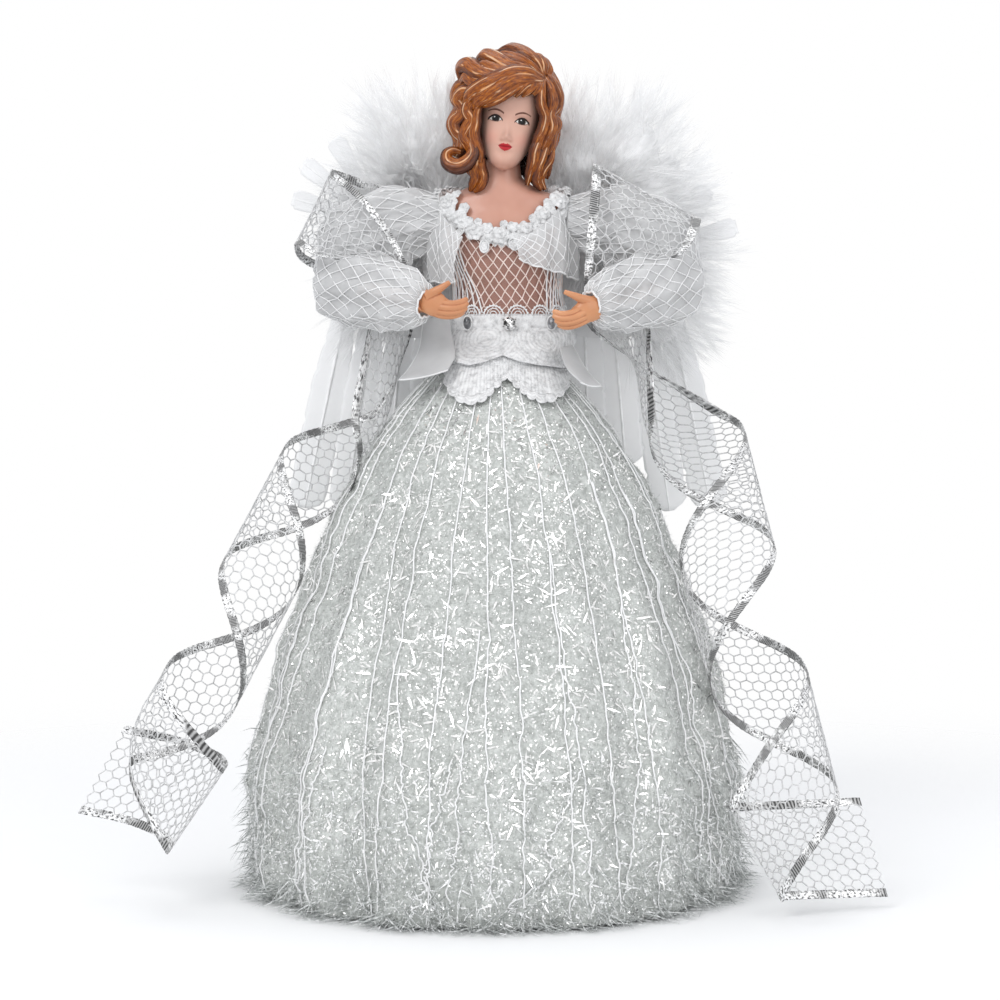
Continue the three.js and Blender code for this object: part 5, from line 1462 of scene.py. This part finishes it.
def makeQuill(name, k, out, up, long, lean):
    length, angle = quill["length"] * long, math.radians(lean)
    x, y, z = vane(length)
    ahead = 3 + out * wing["reach"] + x * math.cos(angle) - z * math.sin(angle)
    above = up * wing["top"] * 0.55 + x * math.sin(angle) + z * math.cos(angle)
    back = wing["padBack"] + 2.5 + 0.9 * (k - 1)
    grid = np.stack([arm["middle"] + sides[name] * ahead, back + y, wing["root"] + above], -1)
    radii = np.linspace(0.7, 0.2, len(grid)) * quill["halfWidth"] / 7 + 0.1
    finishFeather(name + "Quill" + str(k), name + "_quill_" + str(k), grid, length / 10, 0.2, grid[:, 6], radii, 8)


def makeWing(name, plumes):
    side = sides[name]
    cardBack = wing["padBack"] + 0.3
    parts = []
    for out, up, size in tufts[name]:
        radius = wing["radius"] * size * 0.82
        middle = wingPlace(side, 3 + out * wing["reach"] * 0.94, cardBack - 2.5, up * wing["top"])
        a, b, c = ballWaves(np.linspace(0, math.pi, 17), 24)
        parts.append((np.stack([a * radius, c * 7.2, b * radius], -1) + middle, gridFaces(17, 24, True)))
    core = meshPiece(name + "WingCore", *joinParts(parts), "core")
    remeshed(core, 1.5, 8, 0.6)
    points = coordinates(core.data)
    normals = readMesh(core.data.vertex_normals, "vector")
    rough = np.array([noise.noise(Vector(p) * 180) + 0.6 * noise.noise(Vector(p) * 420) for p in points])
    points = points + normals * (rough * 1.3 * mm)[:, None]
    core.data.vertices.foreach_set("co", points.ravel())
    core.data.update()
    finish(core, "down", name + "_wing_down")
    middle = place(wingPlace(side, 0.42 * wing["reach"], cardBack - 4, 0.55 * wing["top"]))[0]
    swirl = np.stack([noise.noise_vector(Vector(p) * 60) for p in points])
    arrow = unit(unit((points - middle) * [1, 0.25, 1]) + normals * 0.42 + swirl * 0.75 + [side * 0.15, -0.05, -0.12])
    area = sum(p.area for p in core.data.polygons)
    for k, plume in enumerate(plumes):
        layer = addPiece(name + "Plumes" + "AB"[k], core.data.copy())
        keepValues(layer, "arrow", "FLOAT_VECTOR", "vector", arrow)
        runTree(layer, copyTree, density=wing["plumes"] / len(plumes) / area, seed=20 + k, source=plume,
                sizeLow=0.6 * wing["plumeLong"], sizeHigh=1.25 * wing["plumeLong"], spread=0.5, material=mats["down"])
        finish(layer, "down")
    for k, shape in enumerate(quills, 1):
        makeQuill(name, k, *shape)


plumes = [makePlume("plume" + str(k), k) for k in range(2)]
for name in sides:
    makeWing(name, plumes)
for plume in plumes:
    bpy.data.objects.remove(plume)


# Short blunt feathers at the wings' top corners, shifted a little from the built ones to where they are seen
def makeTips(name):
    for k, shift in enumerate(tipShifts[name], 1):
        node = name + "_tip_feather_" + str(k)
        vertices = (coordinates(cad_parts[node].data) - origin) / mm
        spread = vertices - vertices.mean(0)
        _, _, axes = np.linalg.svd(spread, full_matrices=False)
        ahead = axes[0] * (1 if axes[0][0] * sides[name] > 0 else -1)
        reach, half = (np.abs(spread @ axis).max() for axis in axes[:2])
        share, over = crossed(np.linspace(-1, 1, 30), np.linspace(-1, 1, 9))
        half = half * np.minimum(1, 0.35 + 0.8 * (share + 1) / 2) * (1 - 0.3 * (share > 0.93))
        grid = (vertices.mean(0) + shift + share[..., None] * reach * ahead + (over * half)[..., None] * axes[1]
                - (0.5 * over**2 + 0.8 * share**2)[..., None] * [0, 1, 0])
        finishFeather(name + "TipFeather" + str(k), node, grid, 3, 0.18, grid[:, 4], np.linspace(0.4, 0.15, 30), 7)


for name in sides:
    makeTips(name)
print("wings made")

# Head: a calm doll's face, painted, with the head tilted a little
head = {"base": 257.3, "tilt": math.radians(8), "neckAside": 1.9, "forward": 1.5, "halfWidth": 10.9, "halfDepth": 13.2}
headRows = [[0, .02, .02, .72], [.012, .16, .13, .7], [.04, .34, .3, .58], [.1, .54, .52, .4], [.2, .74, .74, .2],
            [.32, .88, .88, .08],
            [.5, .97, .98, 0], [.68, 1, 1, 0], [.84, .88, .9, 0], [.94, .6, .62, 0], [1, .1, .1, 0]]
headLines = [smoothLine([r[0] for r in headRows], [r[k] for r in headRows]) for k in (1, 2, 3)]
face = {"eyes": 16.3, "apart": 4.75, "brows": 18.7, "nose": 10.2, "lips": 7.1, "height": 40}


def headPlace(points):
    x, y, z = points[..., 0], points[..., 1], points[..., 2]
    cos, sin = math.cos(head["tilt"]), math.sin(head["tilt"])
    return np.stack([head["neckAside"] + x * cos + z * sin, y - head["forward"], head["base"] - x * sin + z * cos], -1)


def faceRelief(x, z, front):
    side = np.abs(x)
    nose = (1.25 * bell(x, 0, 1.5) * bell(z, face["nose"] + 0.3, 1.7)
            + 0.75 * bell(x, 0, 1.15) * smoothstep(8.5, 11, z) * smoothstep(17, 12, z))
    nostrils = 0.45 * bell(side, 1.45, 0.8) * bell(z, face["nose"] - 0.6, 0.9)
    sockets = -0.8 * bell(side, face["apart"] - 0.4, 2.6) * bell(z, face["eyes"] + 0.3, 2.0)
    lids = 0.45 * bell(side, face["apart"], 2.1) * bell(z, face["eyes"], 1.2)
    cheeks = 0.6 * bell(side, 5.6, 2.8) * bell(z, 10.4, 3.2)
    lips = 0.55 * bell(x, 0, 2.3) * (bell(z, face["lips"] + 0.75, 0.62) + 1.05 * bell(z, face["lips"] - 0.75, 0.75))
    parting = -0.3 * bell(x, 0, 2.2) * bell(z, face["lips"] + 0.02 * x * x, 0.22)
    chin = 0.75 * bell(x, 0, 2.8) * bell(z, 1.8, 2.0)
    under = -0.4 * bell(x, 0, 2.2) * bell(z, face["lips"] - 2.5, 0.8)
    brow = 0.3 * bell(side, 4.4, 3) * bell(z, face["brows"], 1.3)
    return (nose + nostrils + sockets + lids + cheeks + lips + parting + chin + under + brow) * front


# Layers of paint on the face: each has a colour and how much of it lies at each point. Some layers are painted shade,
# under the chin, under the nose, at the sides and above the eyes, and each eye has a painted glint
def faceColours(x, z, front):
    side, facing = np.abs(x), front > 0.5
    dx, dz = (side - face["apart"]) / 2.3, z - face["eyes"]
    arch = 1 - np.abs(dx) ** 2.2
    upper, lower = 1.25 * arch, -0.85 * arch
    inside = (np.abs(dx) < 1) & (dz < upper) & (dz > lower) & facing
    shadow = bell(dx, 0, 1.05) * smoothstep(3.1, 1.2, dz) * smoothstep(0.1, 1.4, dz)
    iris = np.hypot(side - face["apart"] + 0.1, dz - 0.2)
    glint = np.hypot(x - np.sign(x) * face["apart"] + 0.4, dz - 0.7)
    lash = (np.abs(dz - upper - 0.12) < 0.3 + 0.16 * np.clip(dx, 0, 1)) & (np.abs(dx) < 1.16) & (arch > -0.45)
    lowLash = (np.abs(dz - lower) < 0.15) & (np.abs(dx) < 0.98)
    bx = (side - 4.8) / 2.8
    line = face["brows"] + 0.9 * (1 - (bx - 0.1) ** 2)
    thick = 0.3 * (1 - 0.45 * smoothstep(-0.2, 1, bx))
    mx = side / 2.5
    bow = 1.2 * np.clip(1 - mx**2, 0, 1) * (1 - 0.26 * bell(x, 0, 0.5)) + 0.02
    pout = -1.5 * np.clip(1 - mx**1.7, 0, 1) ** 0.85
    dm = z - face["lips"] - 0.12 * mx**2
    tone = np.tile(tint((216, 172, 154))[:3], (len(x), 1))
    for colour, amount in (
            ((228, 146, 130), 0.3 * bell(side, 5.8, 2.6) * bell(z, 9.8, 2.6) * front),
            # painted shade under the chin, darker towards the bottom of the head
            ((186, 130, 110), 0.7 * smoothstep(4, -1, z)),
            # painted shade under the nose
            ((196, 138, 120), 0.5 * bell(side, 1.5, 0.7) * bell(z, face["nose"] - 1.1, 0.5) * front),
            # painted shade towards the sides of the face, where it turns away
            ((206, 152, 132), 0.45 * smoothstep(7, 10, side)),
            ((160, 112, 100), 0.5 * shadow * front),
            ((232, 228, 222), inside),
            ((58, 46, 34), inside * smoothstep(1.34, 1.2, iris)),
            ((8, 9, 10), inside * smoothstep(1.02, 0.9, iris)),
            ((20, 20, 18), inside * smoothstep(1.0, 1.25, iris) * smoothstep(1.42, 1.32, iris)),
            (255, inside * smoothstep(0.24, 0.16, glint)),
            ((30, 20, 18), lash & facing),
            ((96, 62, 54), 0.75 * (lowLash & facing)),
            ((92, 52, 40), 0.95 * smoothstep(thick + 0.1, thick - 0.05, np.abs(z - line)) * (np.abs(bx) < 1) * front),
            ((186, 28, 44), 0.96 * ((mx < 1) & (dm < bow) & (dm > pout) & facing)),
            ((116, 14, 26), 0.85 * ((mx < 0.96) & facing) * smoothstep(0.2, 0.08, np.abs(dm)))):
        tone = mix(tone, np.array(tint(colour)[:3]), np.clip(amount.astype(float), 0, 1)[:, None])
    return tone


def makeHead():
    share = np.linspace(0, 1, 230)
    share = share + 0.07 * np.sin(share * fullTurn) / fullTurn
    turn = turns(300)
    angle = turn - 0.55 * np.sin(turn) - math.pi / 2
    wide, deep, ahead = (line(share)[:, None] for line in headLines)
    square = 1 / (np.abs(np.cos(angle)) ** 2.3 + np.abs(np.sin(angle)) ** 2.3) ** (1 / 2.3)
    z = (share * face["height"] - 1.2)[:, None] + 0 * angle
    x = head["halfWidth"] * wide * square * np.cos(angle)
    y = head["halfDepth"] * (deep * square * np.sin(angle) - ahead)
    front = smoothstep(-0.05, -0.55, y / head["halfDepth"])
    y = y - faceRelief(x, z, front)
    piece = meshPiece("dollHead", *closedForm(headPlace(np.stack([x, y, z], -1))), "face")
    tone = faceColours(x.ravel(), z.ravel(), front.ravel())
    tone = np.pad(np.vstack([tone, tone[:1], tone[-1:]]), ((0, 0), (0, 1)), constant_values=1)
    layer = piece.data.color_attributes.new("tone", "FLOAT_COLOR", "POINT")
    layer.data.foreach_set("color", tone.astype(np.float32).ravel())
    finish(piece, "moulded_skin", "head")


makeHead()

# Hair: locks over a cap. Each lock has the places that it runs through, as seen in front, and its half widths
locks = [
    # lobes on top, from the whorl at the right to the left
    ([(543, 77, -7), (537, 64, -7), (524, 54, -5), (510, 50, -2), (499, 54, 1)], (1.5, 2.6, 3.2, 3.2, 2.0)),
    ([(543, 78, -9), (531, 68, -11), (517, 60, -10), (504, 57, -7), (495, 61, -4)], (1.5, 2.6, 3.0, 2.8, 1.8)),
    ([(541, 79, -11), (525, 71, -14), (509, 67, -13.5), (495, 59, -10), (485, 56, -6), (478, 62, -3)],
     (1.4, 2.6, 3.0, 3.2, 3.0, 1.8)),
    ([(528, 75, -14), (511, 73, -15.5), (496, 70, -14), (484, 66, -11), (477, 70, -8)], (1.2, 2.4, 2.8, 2.6, 1.5)),
    ([(508, 76, -16), (492, 76, -15), (478, 72, -12), (468, 65, -8), (461, 69, -5), (462, 80, -4)],
     (1.3, 2.6, 3.1, 3.3, 2.8, 1.8)),
    ([(506, 81, -16.5), (490, 84, -15.5), (476, 84, -12.5), (467, 77, -8.5), (462, 84, -6)], (1.3, 2.4, 2.8, 2.6, 1.6)),
    # the fringe, swept over the forehead to the left
    ([(542, 79, -11), (528, 73, -15), (512, 73, -17), (496, 80, -17.5), (482, 87, -16), (471, 95, -13.5),
      (466, 104, -11)],
     (1.4, 2.4, 2.8, 3.0, 3.0, 2.8, 1.8)),
    ([(541, 80, -12), (527, 79, -16.5), (513, 80, -18.2), (500, 87, -18.4), (488, 95, -17), (479, 101, -15),
      (475, 109, -13)],
     (1.4, 2.3, 2.7, 3.0, 3.1, 2.8, 1.6)),
    ([(532, 83, -16), (519, 85, -18), (508, 91, -18.4), (498, 97, -17.8), (488, 101, -16.6), (481, 104, -15)],
     (1.2, 2.1, 2.4, 2.5, 2.4, 1.4)),
    ([(537, 82, -14), (527, 84, -17), (520, 90, -17.8), (515, 97, -17)], (1.2, 1.9, 1.7, 0.6)),
    ([(539, 83, -13), (532, 87, -16), (527, 92, -16.8), (522, 97, -16.5)], (1.2, 1.8, 1.5, 0.5)),
    ([(541, 82, -12), (538, 89, -14.6), (533, 95, -15)], (1.3, 1.8, 0.8)),
    # right side: waves from the whorl to the shoulder
    ([(543, 80, -10), (541, 92, -13.5), (541, 104, -13.2), (545, 116, -12), (543, 128, -12), (538, 139, -12),
      (534, 149, -11.5)],
     (1.3, 2.2, 2.3, 2.2, 2.3, 2.2, 1.4)),
    ([(545, 78, -8), (550, 90, -10.5), (552, 102, -10.5), (549, 114, -10), (551, 126, -9.5), (547, 138, -9.5),
      (541, 149, -9.5)],
     (1.3, 2.4, 2.8, 2.6, 2.8, 2.6, 1.8)),
    ([(546, 74, -5), (553, 84, -7), (558, 96, -6.5), (557, 107, -6), (552, 115, -6.5), (557, 124, -6), (553, 134, -6),
      (551, 145, -6), (547, 156, -6.5)],
     (1.5, 2.4, 2.7, 2.4, 2.1, 2.4, 2.2, 2.2, 1.4)),
    ([(540, 138, -11.5), (535, 150, -11.5), (533, 162, -10.5), (530, 173, -9.5), (527, 185, -8)],
     (1.8, 2.4, 2.4, 2.0, 0.8)),
    ([(546, 144, -8), (541, 157, -9), (537, 168, -8.5), (536, 180, -7.5), (541, 190, -6.5)], (1.8, 2.6, 2.6, 2.3, 0.9)),
    ([(552, 148, -5), (549, 160, -6), (543, 169, -6), (540, 179, -5), (545, 190, -5)], (1.6, 2.4, 2.4, 2.3, 0.9)),
    ([(543, 76, -7), (543, 66, -6), (538, 57, -4), (532, 54, -2)], (1.4, 2.2, 1.9, 0.7)),
    ([(545, 78, -6), (548, 71, -4), (545, 62, -2), (541, 56, 0)], (1.4, 2.2, 1.8, 0.6)),
    # left side: waves from the fringe to the roll
    ([(475, 92, -13.5), (465, 92, -10.5), (459, 99, -8.5), (463, 108, -9), (461, 116, -9), (455, 122, -8),
      (457, 131, -8), (463, 138, -9), (461, 149, -9)],
     (1.5, 2.5, 2.8, 2.4, 2.4, 2.6, 2.4, 2.4, 1.8)),
    ([(478, 98, -14.5), (470, 103, -12.5), (468, 111, -11.5), (472, 119, -12), (468, 128, -11.5), (465, 136, -11),
      (470, 145, -11.5), (474, 155, -12)],
     (1.3, 2.3, 2.5, 2.5, 2.7, 2.5, 2.5, 1.8)),
    ([(480, 104, -15), (477, 113, -14), (476, 122, -13.5), (474, 132, -13), (476, 143, -13), (479, 153, -13),
      (480, 163, -12)],
     (1.0, 1.6, 1.9, 2.1, 2.1, 2.1, 1.2)),
    ([(468, 84, -8), (460, 87, -5), (457, 97, -4.5), (462, 107, -5), (456, 117, -5), (453, 125, -5), (459, 135, -5),
      (460, 147, -5), (455, 157, -5)],
     (1.8, 2.6, 2.8, 2.8, 2.6, 2.6, 2.8, 2.8, 2.0)),
    # the roll at the lower left, and the ends under it
    ([(470, 139, -11.5), (474, 152, -12.5), (468, 162, -12.5), (457, 166.5, -12), (448.5, 162, -11),
      (447, 154.5, -10.4), (452.5, 150.5, -9.8), (461, 152, -9.8)],
     (1.8, 2.8, 3.3, 3.5, 3.0, 2.1, 1.5, 0.8)),
    ([(476, 158, -12), (474, 168, -11), (476, 177, -10), (473, 185, -8.5), (470, 191, -7)], (2.2, 2.4, 2.1, 1.7, 0.7)),
    ([(481, 158, -12), (481, 168, -11), (483, 177, -10), (480, 186, -9), (474, 192, -8)], (1.6, 2.1, 2.1, 1.9, 0.7)),
]
hair = {"sides": 32, "back": 15, "wide": 17, "deep": 15.5, "high": 17.5, "low": 27, "ends": 13}


# Locks down the back, from the crown, waving a little
def backLocks(heart):
    made = []
    share = np.linspace(0, 1, 30)
    bend = np.minimum(share * 2.4, 1) * math.pi / 2
    down = np.maximum(share * 2.4 - 1, 0) / 1.4
    radii = np.interp(share, [0, 0.25, 0.6, 0.9, 1], [1.9, 3.4, 3.7, 2.6, 0.8])
    for turn in np.linspace(-0.25, math.pi + 0.25, hair["back"]):
        sway = 0.9 * np.sin(share * 21 + turn * 5) * share
        wide, deep = mix(hair["wide"], hair["ends"], down) + sway, mix(hair["deep"], 10, down) + sway
        path = np.stack([wide * np.sin(bend) * math.cos(turn), deep * np.sin(bend) * math.sin(turn),
                         hair["high"] * np.cos(bend) - hair["low"] * down], -1)
        made.append((heart + path, radii))
    return made


def makeHair():
    heart = seen(508, 103, 3)
    paths = []
    for spots, widths in locks:
        path = seenPath(spots, 6)
        knots = np.linspace(0, len(path) - 1, len(widths))
        paths.append((path, np.interp(np.arange(len(path)), knots, widths)))
    parts, strands, ridges = [], [], []
    for k, (path, widths) in enumerate(paths + backLocks(heart)):
        phase = chance.uniform(0, fullTurn)
        grooves = lambda turn, along: (1 + 0.075 * np.sin(turn * 6 + phase + along * 1.6)
                                       + 0.04 * np.sin(turn * 11 - phase + along * 2.4))
        parts.append(sweep(path, widths * 0.78, hair["sides"], 1.3, path[len(path) // 3] - heart, grooves))
        along, turn = crossed(lengthsAlong(path), turns(hair["sides"]))
        strand = np.stack([1.3 * np.cos(turn) + 7 * k, 1.3 * np.sin(turn), along * 0.1], -1).reshape(-1, 3)
        strands.append(np.vstack([strand, [[7 * k, 0, 0], [7 * k, 0, along[-1, 0] * 0.1]]]))
        # ridge is 1 on each lock's outer crest and 0 on its side towards the head; the hair paint makes painted shade
        # and painted highlight lines from it
        ridges.append(np.concatenate([(0.5 + 0.5 * np.cos(turn)).ravel(), [0.5, 0.5]]))
    theta, phi = crossed(np.linspace(math.pi, 0, 40), turns(72))
    ball = heart + np.stack([16 * np.sin(theta) * np.cos(phi), 13.6 * np.sin(theta) * np.sin(phi) + 1.2,
                             np.where(theta > math.pi / 2, 20, 16.5) * np.cos(theta)], -1)
    parts.append((ball, gridFaces(40, 72, True)))
    strands.append(np.stack([9 * np.cos(phi), 9 * np.sin(phi), theta], -1).reshape(-1, 3))
    # the cap under the locks takes a low ridge, so it is painted in shade
    ridges.append(np.full(theta.size, 0.2))
    piece = meshPiece("dollHair", *joinParts(parts), "hair")
    keepValues(piece, "strand", "FLOAT_VECTOR", "vector", np.vstack(strands))
    keepValues(piece, "ridge", "FLOAT", "value", np.concatenate(ridges))
    finish(piece, "moulded_hair", "hair")


makeHair()
print("head made")


# Pale floor, soft light all round and the front camera
def makeStage():
    floorPaint = Paint("floorPaint", 250, 0.9)
    reach = floorPaint.add("ShaderNodeVectorMath", {0: floorPaint.objectPoints()}, operation="LENGTH")
    fade = floorPaint.add("ShaderNodeMapRange", {"Value": reach.outputs["Value"], "From Min": 0.2, "From Max": 0.55,
                                                 "To Min": 1.0, "To Max": 0.0}, interpolation_type="SMOOTHSTEP")
    floorPaint.link(fade.outputs["Result"], "Alpha")
    bpy.ops.mesh.primitive_plane_add(size=1.4, location=(0, 0, -0.0002))
    floor = bpy.context.object
    floor.name = "floor"
    floor.data.materials.append(floorPaint.material)
    for name, spot, size, power, aim in (("keyLight", (-0.7, -1.1, 1.2), 0.7, 8.5, 0.15),
                                         ("fillLight", (0.9, -1.2, 0.7), 0.9, 4.2, 0.15),
                                         ("topLight", (0.0, 0.25, 1.5), 0.9, 4.5, 0.15),
                                         ("lowLight", (0.0, -1.4, 0.12), 0.7, 1.2, 0.1)):
        light = bpy.data.lights.new(name, "AREA")
        light.size, light.energy = size, power
        lamp = addPiece(name, light)
        lamp.location = spot
        lamp.rotation_euler = (Vector((0, 0, aim)) - Vector(spot)).to_track_quat("-Z", "Y").to_euler()


# The world is soft grey, and white where it is seen straight, in a mirror or through glass
def makeWorld():
    world = bpy.data.worlds.new("studio")
    bpy.context.scene.world = world
    world.use_nodes = True
    tree = world.node_tree
    tree.nodes.clear()
    rays = addNode(tree, "ShaderNodeLightPath").outputs
    straight = rays["Is Camera Ray"]
    for other in ("Is Glossy Ray", "Is Transmission Ray"):
        straight = addNode(tree, "ShaderNodeMath", {0: straight, 1: rays[other]}, operation="MAXIMUM").outputs[0]
    soft = addNode(tree, "ShaderNodeBackground", {"Color": (0.94, 0.96, 1, 1), "Strength": 0.72})
    white = addNode(tree, "ShaderNodeBackground", {"Color": (1, 1, 1, 1), "Strength": 1})
    chosen = addNode(tree, "ShaderNodeMixShader", {"Fac": straight, 1: soft.outputs[0], 2: white.outputs[0]})
    addNode(tree, "ShaderNodeOutputWorld", {"Surface": chosen.outputs[0]})


def makeCamera():
    camera = addPiece("frontCamera", bpy.data.cameras.new("frontCamera"))
    camera.data.sensor_width = 36
    camera.data.lens = 36 * view["reach"] / 1000
    camera.data.clip_start = 0.05
    camera.location = place([view["eye"]])[0]
    camera.rotation_euler = (math.pi / 2 - view["tilt"], 0, 0)
    bpy.context.scene.camera = camera
    bpy.context.scene.view_settings.view_transform = "Standard"


makeStage()
makeWorld()
makeCamera()
